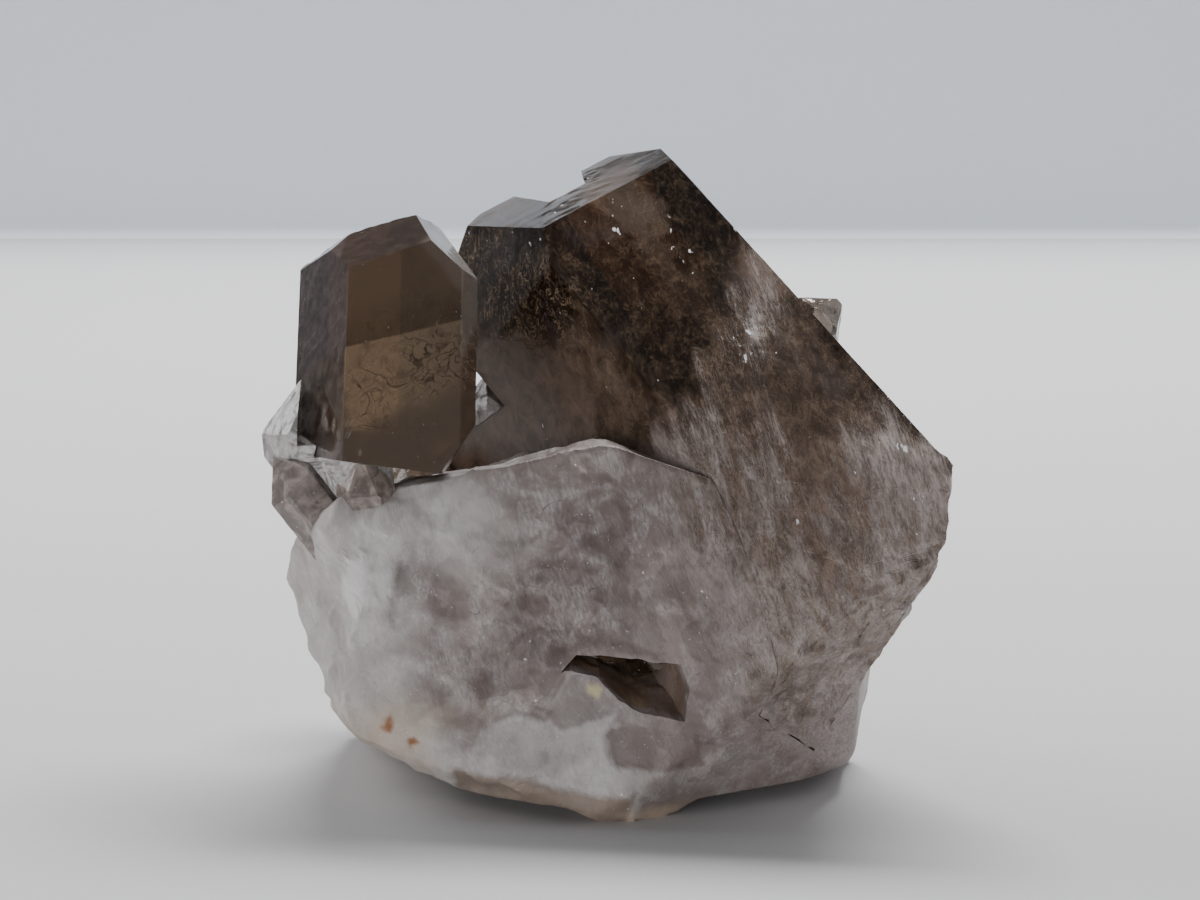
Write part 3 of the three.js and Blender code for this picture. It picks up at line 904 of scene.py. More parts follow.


# The root's pale plates, darker tones and painted shade, dark pocket and stains, and the front's veil, haze
# and milk
def paintRoot(piece):
    points = pointsOf(piece)
    seen = seenFromFront(points)
    front = frontOf(points)
    pale, shade, warm = [rootMarkAt(points, kind) * front for kind in ("pale", "shade", "warm")]
    pale *= 1 - 0.7 * shade
    left = smoothStep(-19, -31, seen[:, 0] + 4 * layeredNoise(points, 8, 4, 95))
    foot = smoothStep(9, 0, seen[:, 1] + 3 * layeredNoise(points, 6, 4, 96)) * smoothStep(8, -2, seen[:, 0])
    foot *= 0.7 * (1 - 0.9 * shade)
    shoulder = 0.9 * patchOf(points, (-22, 36), 7, 6) * front
    paint(piece, "pale", np.maximum.reduce([pale, 0.5 * left, foot, shoulder]))
    wall = breakPlane(*frontWalls["lower"])
    # The pocket: painted shade deepening with depth into it, over the brown inside, and less of it on the lit
    # wall
    inPocket = (outlineDistance(seen, pocket["seen"]) < 2) & (points[:, 1] < -6)
    hollow = smoothStep(0.6, 1.8, (wall[3] - points @ wall[:3]) * inPocket)
    # Painted shade along the top faces near the front, toning down the bright strip the light from behind
    # lays there
    tops = np.array([breakPlane(*rootStone["faces"][number]) for number in rootStone["topFaces"]])
    shade = np.maximum(shade, 0.9 * nearPlanes(points, tops, 1.2) * smoothStep(33, 38, seen[:, 1]))
    dull = 0.6 * patchOf(points, (11, 20), 8, 12) + 0.3 * patchOf(points, (-6, 24), 12, 8)
    # Darker tones of the plates and patches, with the painted shade under, on the top faces and in the pocket
    paint(piece, "shade", np.maximum(np.maximum(shade, dull) * front, hollow))
    lit = markOf(points, pocket["litWall"], 0.3, 0.3, 94)
    paint(piece, "dark", hollow * (0.95 - 0.55 * lit) * (1 - 0.45 * patchOf(points, (2, 15.5), 4, 1.6)))
    corner = 0.55 * smoothStep(-18, -26, seen[:, 0]) * smoothStep(14, 7, seen[:, 1])
    under = 0.7 * smoothStep(3, 0.5, points[:, 2])
    stain = np.maximum(corner, under) * (0.7 + 0.5 * layeredNoise(points, 4, 3, 97))
    paint(piece, "warm", np.maximum(warm, stain))
    spot = np.linalg.norm(seen[:, None] - np.array(rustSpots)[None], axis=2).min(axis=1)
    paint(piece, "rust", smoothStep(0.9, 0.4, spot + 0.5 * layeredNoise(points, 1, 2, 98)) * front)
    paint(piece, "yellow", 0.8 * markOf(points, yellowStain, 0.4, 0.6, 99) * front)
    front, cover, haze, milk = frontPaint(points)
    paint(piece, "veil", cover + (1 - front) * 0.7)
    paint(piece, "haze", haze * front + (1 - front) * 0.85)
    paint(piece, "milk", milk + (1 - front) * 0.8)


pocket = dict(
    mouth=(
        (-6.3, 17.3), (-3.9, 20.2), (0, 20.7), (3.8, 20.3), (7.7, 19.9), (11.9, 19.7), (12.8, 16.3),
        (11.8, 12), (7.7, 12.3), (4.7, 12.9), (3, 14), (-0.1, 16.9), (-4.5, 18.1),
    ),
    front=-30, back=-8, lift=3.5, taper=0.62, drift=-4.0,
    # the mouth and the lit wall at its right end as seen from the front
    seen=(
        (-6.5, 14.8), (-4.6, 17.2), (-1.3, 17.5), (2, 16.9), (5.5, 16.3), (9.3, 15.9), (10.5, 12.7),
        (9.8, 8.5), (5.9, 9.1), (3.2, 9.9), (1.6, 11.2), (-1.3, 14.1), (-5, 15.4),
    ),
    litWall=((4.1, 13.7), (5.5, 15.6), (12, 16.5), (12, 7), (5.9, 8.3), (5, 10.6)),
)


# Pocket: its outline carried back into the root, narrowing and rising
def pocketTool():
    outline = np.array(pocket["mouth"])[::-1]
    count = 14
    sides = np.roll(outline, -1, axis=0) - outline
    rim = (outline[:, None] + sides[:, None] * (np.arange(count) / count)[None, :, None]).reshape(-1, 2)
    middle = outline.mean(axis=0)
    depth = np.linspace(0, 1, 40)
    narrow = 1 - (1 - pocket["taper"]) * depth
    grid = np.empty((len(depth), len(rim), 3))
    grid[..., 0] = middle[0] + (rim[:, 0] - middle[0]) * narrow[:, None] + pocket["drift"] * depth[:, None]
    grid[..., 1] = (pocket["front"] + (pocket["back"] - pocket["front"]) * depth)[:, None]
    grid[..., 2] = middle[1] + (rim[:, 1] - middle[1]) * narrow[:, None] + pocket["lift"] * depth[:, None]
    ends = np.array([
        [middle[0], pocket["front"], middle[1]],
        [middle[0] + pocket["drift"], pocket["back"], middle[1] + pocket["lift"]],
    ])
    points = np.vstack([ends[:1], grid.reshape(-1, 3), ends[1:]])
    points = wear(points, 0.25, 3, 71)
    return makeObject("pocketTool", points, ringTriangles(len(depth), len(rim))[:, ::-1])


# The big crystal, plain and a little grown, clears its place in the root; its broken ends sink into it
def socketTool():
    planes = planesOf(dict(mainCrystal, facets=mainCrystal["facets"][1:], breaks=mainCrystal["breaks"][4:6]))
    planes[:, 3] += 0.06
    planes[0, 3] += 3
    planes[-3:-1, 3] -= 0.4
    return makeObject("socketTool", *facetedBody(planes, 1.5))


# Left crystal, with the same kinds of values as the big one
leftCrystal = dict(
    axisPoint=(-24.9, 3.8, 44.0), heading=0, rise=51.3, roll=-5.2,
    prism=(12.5, 12, 2.5, 11, 17.3, 13.5), tip={-15: 38.35, 60: 34.5}, lowEnd=-24,
    facets=((-48, 40, 27.1), (-51, 72.4, 32.1)),
    breaks=((-148, -76, (-28.9, -11.7, 44.4)), (98.2, -34, (-20, -11.3, 46))),
    spacing=0.55,
)


# Growth lines on the prism faces and a slight swell on the others
def leftRelief(points, normal):
    if abs(normal @ axesOf(leftCrystal)[1]) < 0.01:
        return growthLines(points, leftCrystal, 1.8, 0.1, 4) * 0.008
    return layeredNoise(points, 6, 3, 15) * 0.03


# Outlines and patches of the left crystal as seen from the front
leftMarks = dict(
    # The grey-purple on the left side is a painted sheen, the reflection off that grazing face
    purpleSheen=(
        (-40.6, 69.6), (-34.7, 72.7), (-33.3, 68.7), (-32.6, 60.5), (-35.4, 57.2), (-38.2, 55.2), (-41.6, 52),
        (-44, 52), (-44, 66),
    ),
    flare=((-24.6, 71.2), (-22, 74), (-15, 66), (-15, 52), (-17, 56), (-17.8, 62.4)),
    paleRim=((-43, 52), (-41, 51.5), (-39.6, 46), (-33, 43.9), (-24, 42.2), (-24, 39), (-45, 39)),
)


# The left crystal's grey side with its painted sheen, pale rim, clear pane of painted light, flare, cracks
# and sparkle
def paintLeft(piece):
    points = pointsOf(piece)
    paint(piece, "purpleSheen", markOf(points, leftMarks["purpleSheen"], 0.5, 0.3, 41))
    paint(piece, "paleRim", 0.6 * markOf(points, leftMarks["paleRim"], 1.6, 1.0, 42))
    # The pane lightens the window further: painted light coming through from behind
    paint(piece, "pane", patchOf(points, (-29.8, 52.6), 5.5, 5.5))
    paint(piece, "flare", 0.7 * markOf(points, leftMarks["flare"], 0.4, 0.2, 44))
    paint(piece, "crackle", patchOf(points, (-21.6, 56), 6, 4.2) + 0.5 * patchOf(points, (-31, 51), 5, 6))
    streak = smoothStep(0.3, 0.7, layeredNoise(points, 1.2, 2, 43))
    paint(piece, "sparkle", 0.5 * patchOf(points, (-35.4, 46.7), 1.6, 5.5, -45) * streak)


# Left crystal: a faceted body, worn along its top facet
def makeLeftCrystal():
    planes = planesOf(leftCrystal)
    points, triangles = facetedBody(planes, leftCrystal["spacing"], relief=leftRelief)
    facets = np.array([crystalPlane(leftCrystal, *facet) for facet in leftCrystal["facets"]])
    points = wear(points, 0.004 + 0.16 * nearPlanes(points, facets[1:], 0.8), 1.6, 51)
    return makeObject("leftCrystal", points, triangles)


# Small crystals: the same values, and which node each replaces, its look and its slot
smallCrystals = dict(
    clearLeftCrystal=dict(
        node="clear_left_crystal",
        axisPoint=(-37.6, 7.5, 43), heading=-30, rise=80, roll=30, prism=(7.5, 7.2, 6.5, 7, 7.6, 7.4),
        tip={0: 12, 60: 12.4, 120: 12.8, 180: 12.2, -120: 12, -60: 12.3}, lowEnd=-16,
        breaks=((-90, -50, (-45, 0, 41)),), look="clear", slot="clear_quartz",
        # nothing of it stands in front of the left crystal
        clearance=((-90, 0, (-41, 0, 0)), (90, 0, (0, 0, 0)), (180, 0, (0, -40, 0)), (0, 0, (0, 40, 0)),
                   (180, -90, (0, 0, 44.6)), (0, 90, (0, 0, 90))),
    ),
    flankCrystal=dict(
        node="flank_crystal",
        axisPoint=(-41.6, -2.5, 40), heading=-90, rise=53, roll=0, prism=(3.3, 3.6, 3.4, 3.2, 3.8, 3.5),
        tip={0: 4.8, 60: 5, 120: 4.6, 180: 3.9, -120: 4.3, -60: 4.6}, lowEnd=-13, look="hazy",
        slot="clear_quartz",
    ),
    sparklingCrystal=dict(
        node="sparkling_crystal",
        axisPoint=(-31.6, -7.4, 39.2), heading=190, rise=72, roll=12, prism=(3.2, 3.4, 3.1, 3.3, 3.5, 3.2),
        tip={0: 6.5, 60: 6.2, 120: 6.8, 180: 6.4, -120: 6.3, -60: 6.6}, lowEnd=-8, look="light",
        slot="pale_smoky_quartz",
    ),
    betweenCrystal=dict(
        node="gap_crystal",
        axisPoint=(-16.8, 27.5, 37), heading=-12, rise=76, roll=18, prism=(4, 3.6, 4.4, 4.1, 3.7, 3.5),
        tip={0: 11.4, 60: 11.9, 120: 11.2, 180: 12.2, -120: 11.6, -60: 11}, lowEnd=-16, look="clear",
        slot="clear_quartz", behindBlade=True,
    ),
    rearRightCrystal=dict(
        node="rear_right_crystal",
        axisPoint=(22.2, 21, 51.8), heading=70, rise=38, roll=20, prism=(3.6, 3.9, 3.4, 3.7, 3.5, 3.8),
        tip={0: 13.2, 60: 12.4, 120: 13, 180: 13.6, -120: 12.8, -60: 13.4}, lowEnd=-12, look="pale",
        slot="pale_smoky_quartz",
    ),
    rearLeftCrystal=dict(
        node="rear_left_crystal",
        axisPoint=(-24, 22, 24), heading=-22, rise=34, roll=8, prism=(7.2, 6.4, 6.8, 7.4, 6.2, 7),
        tip={0: 22, 60: 23, 120: 22.5, 180: 24, -120: 22, -60: 23.5}, lowEnd=-10, look="pale",
        slot="pale_smoky_quartz",
    ),
    rearLowCrystal=dict(
        node="rear_low_crystal",
        axisPoint=(16, 26, 17), heading=28, rise=16, roll=24, prism=(5.4, 6.2, 5.8, 5.2, 6, 5.6),
        tip={0: 17, 60: 18, 120: 17.6, 180: 18.4, -120: 17.2, -60: 16.8}, lowEnd=-10, look="smoky",
        slot="smoky_quartz",
    ),
)


# A plain body bounded by planes, for cutting
def block(planes):
    return makeObject("tool", *facetedBody(np.array(planes), 400, lip=0))


# A crystal without relief, grown by a little
def plainTool(crystal, grow):
    planes = planesOf(crystal)
    planes[:, 3] += grow
    return block(planes)


# All that lies before the low blade's front face
def beforeBlade():
    planes = [crystalPlane(mainCrystal, turn, 0, 60) for turn in prismTurns]
    planes += [crystalPlane(mainCrystal, 0, rise, 90) for rise in (90, -90)]
    return [-crystalPlane(mainCrystal, -60, 0, 20.3)] + planes


# A six-sided crystal with growth lines, less what the big crystals take up
def makeSmallCrystal(name, crystal):
    def relief(points, normal):
        return growthLines(points, crystal, 3, 0.3, 6) * 0.025 + layeredNoise(points, 3, 3, 16) * 0.05

    points, triangles = facetedBody(planesOf(crystal), 0.42, 0.08, relief)
    piece = makeObject(name, wear(points, 0.05, 1.3, 81), triangles)
    for big in (mainCrystal, leftCrystal):
        combine(piece, plainTool(big, 0.15))
    if crystal.get("behindBlade"):
        combine(piece, block(bladePlanes() + np.array([0, 0, 0, 0.1])))
        combine(piece, block(beforeBlade()))
    if "clearance" in crystal:
        combine(piece, block([breakPlane(*one) for one in crystal["clearance"]]))
    return piece


# Fine lines where a noise crosses its middle value
def linesOn(tree, place, scale, width, detail=2, distortion=0.0):
    level = noiseOn(tree, place, scale, detail, 0.5, distortion)
    away = sums(tree, "ABSOLUTE", sums(tree, "SUBTRACT", level, 0.5))
    return ranged(tree, away, 0.0, width, 1.0, 0.0)


# One less a part of a value
def less(tree, value, part=1.0):
    return sums(tree, "SUBTRACT", 1.0, sums(tree, "MULTIPLY", value, part))


# All values multiplied
def product(tree, *values):
    total = values[0]
    for value in values[1:]:
        total = sums(tree, "MULTIPLY", total, value)
    return total


# How far a place is across, along and out of a crystal, in millimetres from its axis point
def localTo(tree, place, crystal):
    origin = (np.array(crystal["axisPoint"]) - specimenMiddle) * mm
    apart = {0: place, 1: tuple(origin)}
    offset = put(tree, "ShaderNodeVectorMath", apart, operation="SUBTRACT").outputs[0]
    outputs = []
    for row in axesOf(crystal) / mm:
        dot = put(tree, "ShaderNodeVectorMath", {0: offset, 1: tuple(row)}, operation="DOT_PRODUCT")
        outputs.append(dot.outputs["Value"])
    return outputs


# What every quartz ends in: its colour, how much it lets through, how rough it is, a fine bump by height,
# strength and distance, and a tint that deepens with the way through
def finishQuartz(parts, colour, see, rough, bump, tint, density):
    tree, shader = parts.tree, parts.shader
    bumped = put(tree, "ShaderNodeBump", dict(zip(("Height", "Strength", "Distance"), bump))).outputs[0]
    ends = (("Base Color", colour), ("Transmission Weight", see), ("Roughness", rough), ("Normal", bumped))
    for name, value in ends:
        tree.links.new(value, shader.inputs[name])
    shader.inputs["IOR"].default_value = 1.544
    absorb = put(tree, "ShaderNodeVolumeAbsorption", {"Color": (*tint, 1), "Density": density})
    tree.links.new(absorb.outputs[0], parts.out.inputs["Volume"])
    return parts.material


quartzColours = dict(
    deepBrown=(0.085, 0.052, 0.034), lightBrown=(0.27, 0.18, 0.115), plum=(0.13, 0.10, 0.105),
    moss=(0.42, 0.30, 0.20), veil=(0.43, 0.375, 0.36), haze=(0.19, 0.133, 0.10), scar=(0.17, 0.122, 0.09),
    net=(0.085, 0.055, 0.04), darkMilk=(0.185, 0.142, 0.13), lightMilk=(0.34, 0.29, 0.27),
    pale=(0.72, 0.70, 0.69), dull=(0.24, 0.20, 0.19), hair=(0.07, 0.05, 0.045), shade=(0.60, 0.545, 0.535),
    warm=(0.60, 0.47, 0.35), rust=(0.30, 0.13, 0.05), yellow=(0.62, 0.54, 0.30), hollow=(0.30, 0.205, 0.145),
    # The first colour below is the white of the painted sparkle and glint highlights
    sparkleWhite=(0.86, 0.87, 0.9), tint=(0.45, 0.30, 0.10),
)


# The patterns that smoky and milky quartz share, and the marks painted on the piece
def quartzPatterns(tree, place):
    normal = axesOf(mainCrystal)[2]
    fibreAxes = (np.cross(normal, etched), etched, normal)
    flow = stretched(tree, place, fibreAxes, (1, 0.15, 0.8))
    inner = stretched(tree, place, fibreAxes, (1, 0.5, 0.8))
    flash = noiseOn(tree, stretched(tree, place, fibreAxes, (1, 0.4, 1)), 1300, 3, 0.5)
    found = SimpleNamespace(
        place=place, flow=flow,
        fibres=linesOn(tree, flow, 1300, 0.035, 3, 0.8), fineFibres=linesOn(tree, flow, 2900, 0.04, 3, 1.0),
        strands=noiseOn(tree, flow, 420, 6, 0.66, 0.8), felt=noiseOn(tree, flow, 3000, 4, 0.6),
        moss=linesOn(tree, inner, 800, 0.05, 4, 1.6), mottle=noiseOn(tree, inner, 600, 6, 0.7, 0.6),
        cloud=noiseOn(tree, place, 80, 5, 0.58, 0.6), cloudlets=noiseOn(tree, place, 240, 5, 0.62, 0.8),
    )
    for mark in ("veil", "milk", "haze", "scar"):
        setattr(found, mark, attribute(tree, mark))
    found.mossy = attribute(tree, "moss")
    found.mossed = product(tree, found.moss, found.mossy)
    found.glint = ranged(tree, sums(tree, "MULTIPLY_ADD", attribute(tree, "glint"), 0.15, flash), 0.73, 0.77)
    found.coated = sums(tree, "MAXIMUM", found.veil, found.milk)
    return found


# How white the veil is: broken up into strands, felted, with fibres on top
def veilWhite(tree, found):
    cover = ranged(tree, sums(tree, "MULTIPLY_ADD", found.veil, 0.45, found.strands), 0.58, 1.0)
    cover = product(tree, cover, ranged(tree, found.veil, 0.0, 0.25))
    white = sums(tree, "MULTIPLY", cover, ranged(tree, found.felt, 0.35, 0.65, 0.5, 1.0))
    threads = sums(tree, "MAXIMUM", found.fibres, sums(tree, "MULTIPLY", found.fineFibres, 0.8))
    threads = product(tree, threads, ranged(tree, found.veil, 0.0, 0.4))
    return sums(tree, "MULTIPLY_ADD", threads, 0.35, white, clamp=True)


# Brown and mossy inside, with the hazy and the scarred places and the veil over it
def smokyColour(tree, found, white):
    colours, mottle, cloud = quartzColours, found.mottle, found.cloud
    fuzz = sums(tree, "MULTIPLY_ADD", found.moss, 0.3, mottle)
    colour = mixed(tree, ranged(tree, fuzz, 0.38, 0.95), colours["deepBrown"], colours["lightBrown"])
    colour = mixed(tree, ranged(tree, cloud, 0.50, 0.68, 0, 0.8), colour, colours["plum"])
    colour = mixed(tree, product(tree, found.mossed, ranged(tree, mottle, 0.4, 0.6)), colour, colours["moss"])
    darker, lighter = scaled(colours["haze"], 0.7), scaled(colours["haze"], 1.3)
    colour = mixed(tree, found.haze, colour, mixed(tree, ranged(tree, mottle, 0.35, 0.68), darker, lighter))
    scarred = product(tree, found.scar, ranged(tree, found.strands, 0.38, 0.62, 0.3, 1))
    colour = mixed(tree, scarred, colour, colours["scar"])
    colour = mixed(tree, white, colour, colours["veil"])
    net = linesOn(tree, found.flow, 700, 0.03, 4, 1.4)
    net = product(tree, net, ranged(tree, found.veil, 0.0, 0.3), less(tree, white, 0.4))
    return mixed(tree, sums(tree, "MULTIPLY", net, 0.55), colour, colours["net"])


# Grey clouds and pale wisps in milk, in plates of slightly different tone, with a few dark hairs
def milkColour(tree, found):
    colours, place, cloudlets = quartzColours, found.place, found.cloudlets
    colour = mixed(tree, ranged(tree, found.cloud, 0.36, 0.66), colours["darkMilk"], colours["lightMilk"])
    wisps = sums(tree, "MULTIPLY_ADD", found.strands, 0.35, sums(tree, "MULTIPLY", cloudlets, 0.65))
    wisps = product(tree, ranged(tree, wisps, 0.42, 0.68), ranged(tree, found.felt, 0.3, 0.7, 0.15, 0.6))
    colour = mixed(tree, wisps, colour, colours["pale"])
    colour = mixed(tree, ranged(tree, found.mottle, 0.55, 0.75, 0, 0.3), colour, colours["dull"])
    sway = put(tree, "ShaderNodeTexNoise", {"Vector": place, "Scale": 260.0}).outputs[1]
    inputs = {0: sway, 1: (0.006, 0.006, 0.006), 2: place}
    ragged = put(tree, "ShaderNodeVectorMath", inputs, operation="MULTIPLY_ADD").outputs[0]
    plates = put(tree, "ShaderNodeTexVoronoi", {"Vector": ragged, "Scale": 190.0}).outputs["Color"]
    tone = ranged(tree, plates, 0.2, 0.8, 0.84, 1.1)
    tones = put(tree, "ShaderNodeCombineXYZ", {0: tone, 1: tone, 2: tone}).outputs[0]
    colour = mixed(tree, 1.0, colour, tones, "MULTIPLY")
    hairs = linesOn(tree, place, 120, 0.0035, 2, 0.4)
    hairs = product(tree, hairs, ranged(tree, cloudlets, 0.52, 0.56, 0, 0.6))
    return mixed(tree, hairs, colour, colours["hair"])


# The root's darker tones and painted shade, pale plates and stains, and its pocket darkened by painted shade
def rootStainsAndShade(tree, found, colour):
    colours = quartzColours
    shaded = mixed(tree, attribute(tree, "shade"), (1, 1, 1), colours["shade"])
    colour = mixed(tree, 1.0, colour, shaded, "MULTIPLY")
    pale = product(tree, attribute(tree, "pale"), ranged(tree, found.mottle, 0.3, 0.6, 0.6, 1))
    colour = mixed(tree, pale, colour, colours["pale"])
    for stain in ("warm", "rust", "yellow"):
        colour = mixed(tree, attribute(tree, stain), colour, colours[stain])
    return mixed(tree, attribute(tree, "dark"), colour, colours["hollow"])


# Smoky and milky quartz: brown inside, a whitish fibrous veil over it, and cloudy milk that lets next to no
# light through
def quartzMaterial(name, density, root=False):
    parts = newMaterial(name)
    tree, place = parts.tree, parts.place
    found = quartzPatterns(tree, place)
    white = veilWhite(tree, found)
    colour = mixed(tree, found.milk, smokyColour(tree, found, white), milkColour(tree, found))
    if root:
        colour = rootStainsAndShade(tree, found, colour)
    # White flecks of painted sparkle on the veil and milk, and the painted glint highlights, in one white
    paintedSparkles = ranged(tree, noiseOn(tree, place, 2600, 3, 0.6), 0.70, 0.74)
    paintedSparkles = product(tree, paintedSparkles, ranged(tree, found.coated, 0, 0.5, 0.25, 0.8))
    colour = mixed(tree, sums(tree, "MAXIMUM", paintedSparkles, found.glint), colour, quartzColours["sparkleWhite"])

    see = ranged(tree, found.mottle, 0.35, 0.75, 0.94, 0.74)
    covers = dict(milk=0.94, haze=0.85, scar=0.5, mossed=0.5, glint=1)
    see = product(tree, see, less(tree, white, 0.85))
    for cover, part in covers.items():
        see = product(tree, see, less(tree, getattr(found, cover), part))
    rough = ranged(tree, found.mossy, 0.4, 0.9, 0, 0.12)
    for cover, most in ((white, 0.5), (found.milk, 0.42), (found.scar, 0.14), (found.haze, 0.22)):
        rough = sums(tree, "MAXIMUM", rough, sums(tree, "MULTIPLY", cover, most))
    rough = sums(tree, "MULTIPLY_ADD", rough, less(tree, found.glint), 0.09)
    lumps = sums(tree, "ADD", found.strands, found.cloudlets)
    height = sums(tree, "MULTIPLY_ADD", lumps, 0.4, sums(tree, "MULTIPLY", found.felt, 0.3))
    height = sums(tree, "MULTIPLY", height, ranged(tree, found.coated, 0, 0.5, 0.04, 1))
    parts.shader.inputs["Specular IOR Level"].default_value = 0.35
    return finishQuartz(parts, colour, see, rough, (height, 0.5, 0.0005), quartzColours["tint"], density)


leftColours = dict(
    window=(0.44, 0.31, 0.20), windowRim=(0.24, 0.175, 0.13), band=(0.15, 0.10, 0.062),
    upper=(0.22, 0.15, 0.10), top=(0.08, 0.05, 0.04), crack=(0.04, 0.026, 0.017), flare=(0.34, 0.265, 0.215),
    side=(0.15, 0.115, 0.115), corner=(0.26, 0.225, 0.225), darkSide=(0.075, 0.05, 0.037),
    lightSide=(0.19, 0.14, 0.11), rightSide=(0.15, 0.10, 0.068), mottle=(0.16, 0.11, 0.075),
    # The last colour below is the white of the painted sparkle
    sparkleWhite=(0.66, 0.62, 0.6),
)


# The part of the left crystal's front face under the band: one clear window with cracks in it
def windowColour(tree, place, across, along, mottle, cracks):
    colours = leftColours
    ragged = sums(tree, "MULTIPLY_ADD", noiseOn(tree, place, 300, 5, 0.6), 5, -2.5)
    fromLeft = sums(tree, "ADD", sums(tree, "MULTIPLY_ADD", along, 0.25, across), ragged)
    fromFoot = sums(tree, "ADD", sums(tree, "MULTIPLY_ADD", across, -0.5, along), ragged)
    # The window's lighter brown is painted light coming through from behind
    window = product(tree, ranged(tree, fromLeft, -8.2, -7.2), ranged(tree, fromFoot, -3.5, 1.5))
    window = product(tree, window, ranged(tree, across, 8, 1, 0.5, 0.85))
    pane = product(tree, attribute(tree, "pane"), window)
    window = sums(tree, "MULTIPLY_ADD", pane, 0.3, window, clamp=True)
    colour = mixed(tree, window, colours["windowRim"], colours["window"])
    colour = mixed(tree, ranged(tree, mottle, 0.5, 0.72, 0, 0.6), colour, colours["band"])
    return mixed(tree, cracks, colour, colours["crack"])


# The left crystal's other faces: a streaky grey left side, a painted sheen, with a pale rim, and a brown
# right one
def sideColour(tree, place, across, mottle):
    colours = leftColours
    streaks = stretched(tree, place, axesOf(dict(leftCrystal, roll=25)), (0.25, 1, 1))
    streaks = ranged(tree, noiseOn(tree, streaks, 700, 5, 0.6, 0.8), 0.40, 0.66)
    # The painted sheen: purple-grey streaks
    purpleSheen = mixed(tree, streaks, scaled(colours["side"], 0.7), scaled(colours["side"], 1.25))
    smoky = mixed(tree, ranged(tree, mottle, 0.40, 0.66), colours["darkSide"], colours["lightSide"])
    colour = mixed(tree, attribute(tree, "purpleSheen"), smoky, purpleSheen)
    colour = mixed(tree, attribute(tree, "paleRim"), colour, colours["corner"])
    return mixed(tree, ranged(tree, across, -2, 2), colour, colours["rightSide"])


# Left crystal: a window under a darker band, a dark tip face, and streaky or brown sides
def leftMaterial():
    parts = newMaterial("leftQuartz")
    tree, place = parts.tree, parts.place
    colours = leftColours
    across, along, outward = localTo(tree, place, leftCrystal)
    mottle = noiseOn(tree, place, 500, 6, 0.65)
    # how far a place is above the band's foot and above the tip face's foot
    line = sums(tree, "SUBTRACT", along, sums(tree, "MULTIPLY_ADD", across, 0.22, 10.2))
    topLine = sums(tree, "SUBTRACT", along, sums(tree, "MULTIPLY_ADD", across, 0.329, 23.05))
    crackle = attribute(tree, "crackle")
    cracks = product(tree, linesOn(tree, place, 330, 0.05, 5, 1.6), ranged(tree, crackle, 0.2, 0.7))
    wide = product(tree, linesOn(tree, place, 150, 0.02, 4, 1.2), ranged(tree, crackle, 0.1, 0.4))
    cracks = sums(tree, "MAXIMUM", cracks, wide)
    upper = mixed(tree, ranged(tree, line, 0, 8), colours["band"], colours["upper"])
    upper = mixed(tree, ranged(tree, topLine, -0.12, 0.12), upper, colours["top"])
    lower = windowColour(tree, place, across, along, mottle, cracks)
    face = mixed(tree, ranged(tree, line, -0.1, 0.1), lower, upper)
    face = mixed(tree, attribute(tree, "flare"), face, colours["flare"])
    tipFace = product(tree, ranged(tree, topLine, 0.0, 0.2), ranged(tree, across, -10.3, -9.9))
    front = sums(tree, "MAXIMUM", ranged(tree, outward, 12.0, 12.35), tipFace)
    colour = mixed(tree, front, sideColour(tree, place, across, mottle), face)
    colour = mixed(tree, ranged(tree, mottle, 0.4, 0.7, 0, 0.35), colour, colours["mottle"])
    # Painted sparkle: fine white flecks and the sparkle streak
    paintedSparkles = ranged(tree, noiseOn(tree, place, 1900, 4, 0.65), 0.69, 0.74)
    paintedSparkles = sums(tree, "MAXIMUM", paintedSparkles, attribute(tree, "sparkle"))
    colour = mixed(tree, paintedSparkles, colour, colours["sparkleWhite"])
    see = ranged(tree, mottle, 0.3, 0.8, 0.66, 0.52)
    see = product(tree, see, less(tree, paintedSparkles, 0.7), less(tree, cracks, 0.6))
    rough = ranged(tree, mottle, 0.3, 0.7, 0.05, 0.13)
    return finishQuartz(parts, colour, see, rough, (mottle, 0.05, 0.0001), quartzColours["tint"], 90)


# Small crystals: clear quartz with wisps and pale flecks of painted sparkle
def clearMaterial(name, colour, tint, density, clearness):
    parts = newMaterial(name)
    tree, place = parts.tree, parts.place
    wisps = noiseOn(tree, place, 300, 5, 0.6, 1.2)
    base = mixed(tree, ranged(tree, wisps, 0.38, 0.68), scaled(colour, 0.7), scaled(colour, 1.25))
    # Pale flecks of painted sparkle
    sparkleFlakes = ranged(tree, noiseOn(tree, place, 1500, 4, 0.65), 0.66, 0.72)
    base = mixed(tree, sparkleFlakes, base, (0.8, 0.79, 0.8))
    see = ranged(tree, wisps, 0.35, 0.7, clearness, clearness - 0.25)
    see = product(tree, see, less(tree, sparkleFlakes, 0.7))
    rough = ranged(tree, wisps, 0.3, 0.7, 0.06, 0.16)
    return finishQuartz(parts, base, see, rough, (wisps, 0.15, 0.0005), tint, density)


# Soft boxes in metres and watts, all aimed at one spot low on the specimen
softBoxes = dict(
    leftBox=dict(spot=(-0.66, 0.42, 0.5), size=(0.7, 0.6), power=4.5),
    rightBox=dict(spot=(0.7, 0.42, 0.6), size=(0.8, 0.7), power=2.0),
    backBox=dict(spot=(0.10, 0.41, 0.67), size=(0.6, 0.2), power=9.6),
    frontCard=dict(spot=(-0.4, -1.0, 0.14), size=(1.0, 0.24), power=4.6),
)
lightAim = (0, 0, 0.03)


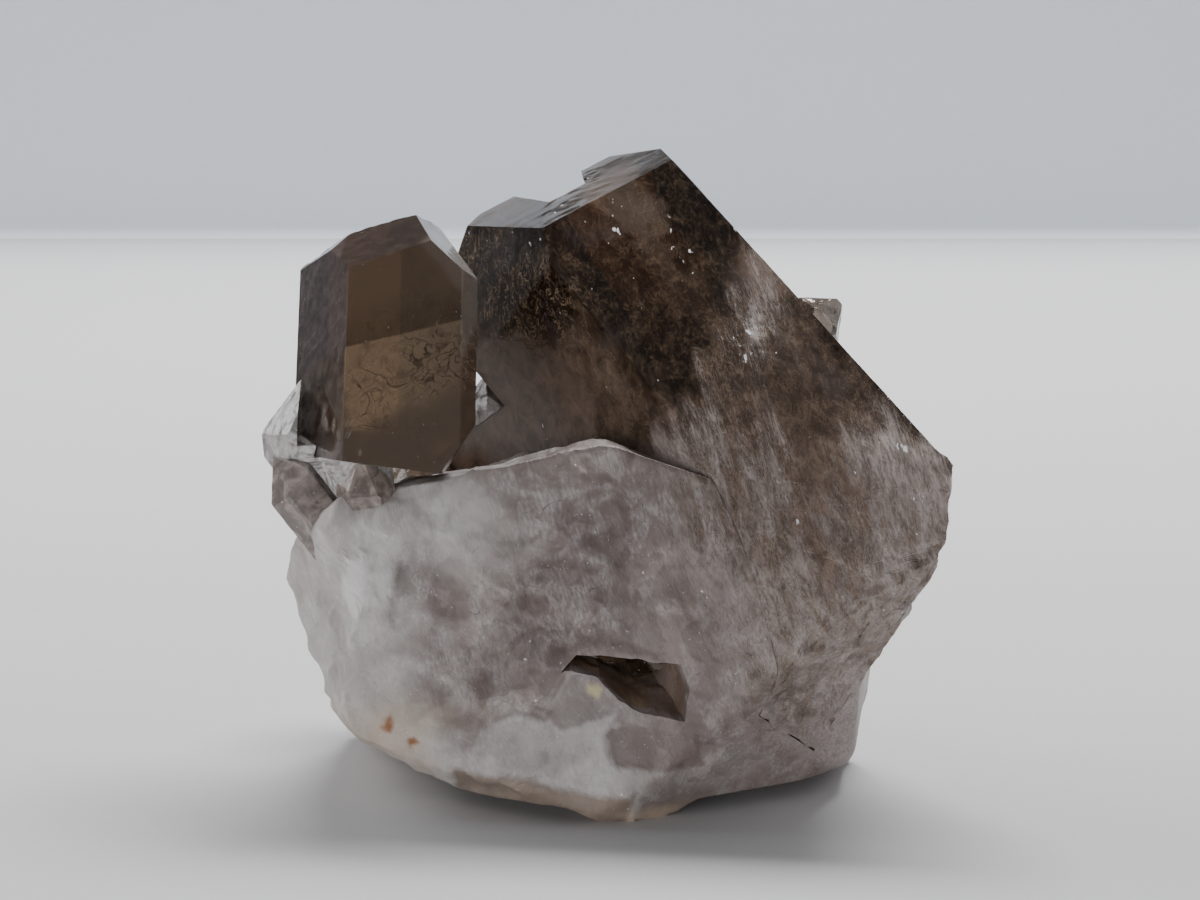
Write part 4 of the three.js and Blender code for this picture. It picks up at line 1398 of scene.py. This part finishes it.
# A soft box turned towards the aim
def areaLight(name, spot, size, power):
    lamp = bpy.data.lights.new(name, "AREA")
    lamp.shape = "RECTANGLE"
    lamp.size, lamp.size_y = size
    lamp.energy = power
    light = bpy.data.objects.new(name, lamp)
    light.location = spot
    toward = np.array(lightAim) - np.array(spot)
    tilt = math.acos(-toward[2] / np.linalg.norm(toward))
    light.rotation_euler = (tilt, 0, math.atan2(toward[1], toward[0]) - math.pi / 2)
    bpy.context.scene.collection.objects.link(light)


# An even pale world and the soft boxes
def makeLight():
    world = bpy.data.worlds.new("studio")
    world.use_nodes = True
    background = world.node_tree.nodes["Background"]
    background.inputs[0].default_value = (*studio["world"], 1)
    background.inputs[1].default_value = studio["worldStrength"]
    bpy.context.scene.world = world
    for name, box in softBoxes.items():
        areaLight(name, **box)


print("studio and camera")
makeCamera()
makeStage()
makeLight()

print("crystals")
looks = dict(
    smoky=quartzMaterial("smokyQuartz", 190),
    deep=clearMaterial("deepSmokyQuartz", (0.13, 0.085, 0.055), quartzColours["tint"], 120, 0.55),
    pale=clearMaterial("paleSmokyQuartz", (0.30, 0.235, 0.19), quartzColours["tint"], 60, 0.75),
    hazy=clearMaterial("hazyQuartz", (0.42, 0.36, 0.335), (0.6, 0.5, 0.4), 24, 0.45),
    light=clearMaterial("lightSmokyQuartz", (0.42, 0.35, 0.315), (0.6, 0.5, 0.4), 24, 0.5),
    clear=clearMaterial("clearQuartz", (0.43, 0.40, 0.385), (0.75, 0.68, 0.62), 16, 0.6),
)
mainPiece = makeMainCrystals()
frontRelief(mainPiece)
paintCrystals(mainPiece)
finishPiece(mainPiece, looks["smoky"], "main_crystals")
leftPiece = makeLeftCrystal()
paintLeft(leftPiece)
finishPiece(leftPiece, leftMaterial(), "left_crystal")
for name, crystal in smallCrystals.items():
    finishPiece(makeSmallCrystal(name, crystal), looks[crystal["look"]], crystal["node"])
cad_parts["pocket_crystals"].data.materials.clear()
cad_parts["pocket_crystals"].data.materials.append(looks["deep"])

print("root")
rootPiece = makeRoot()
combine(rootPiece, socketTool())
combine(rootPiece, pocketTool())
frontRelief(rootPiece)
paintRoot(rootPiece)
finishPiece(rootPiece, quartzMaterial("milkyQuartz", 190, root=True), "milky_root")

print("finished")
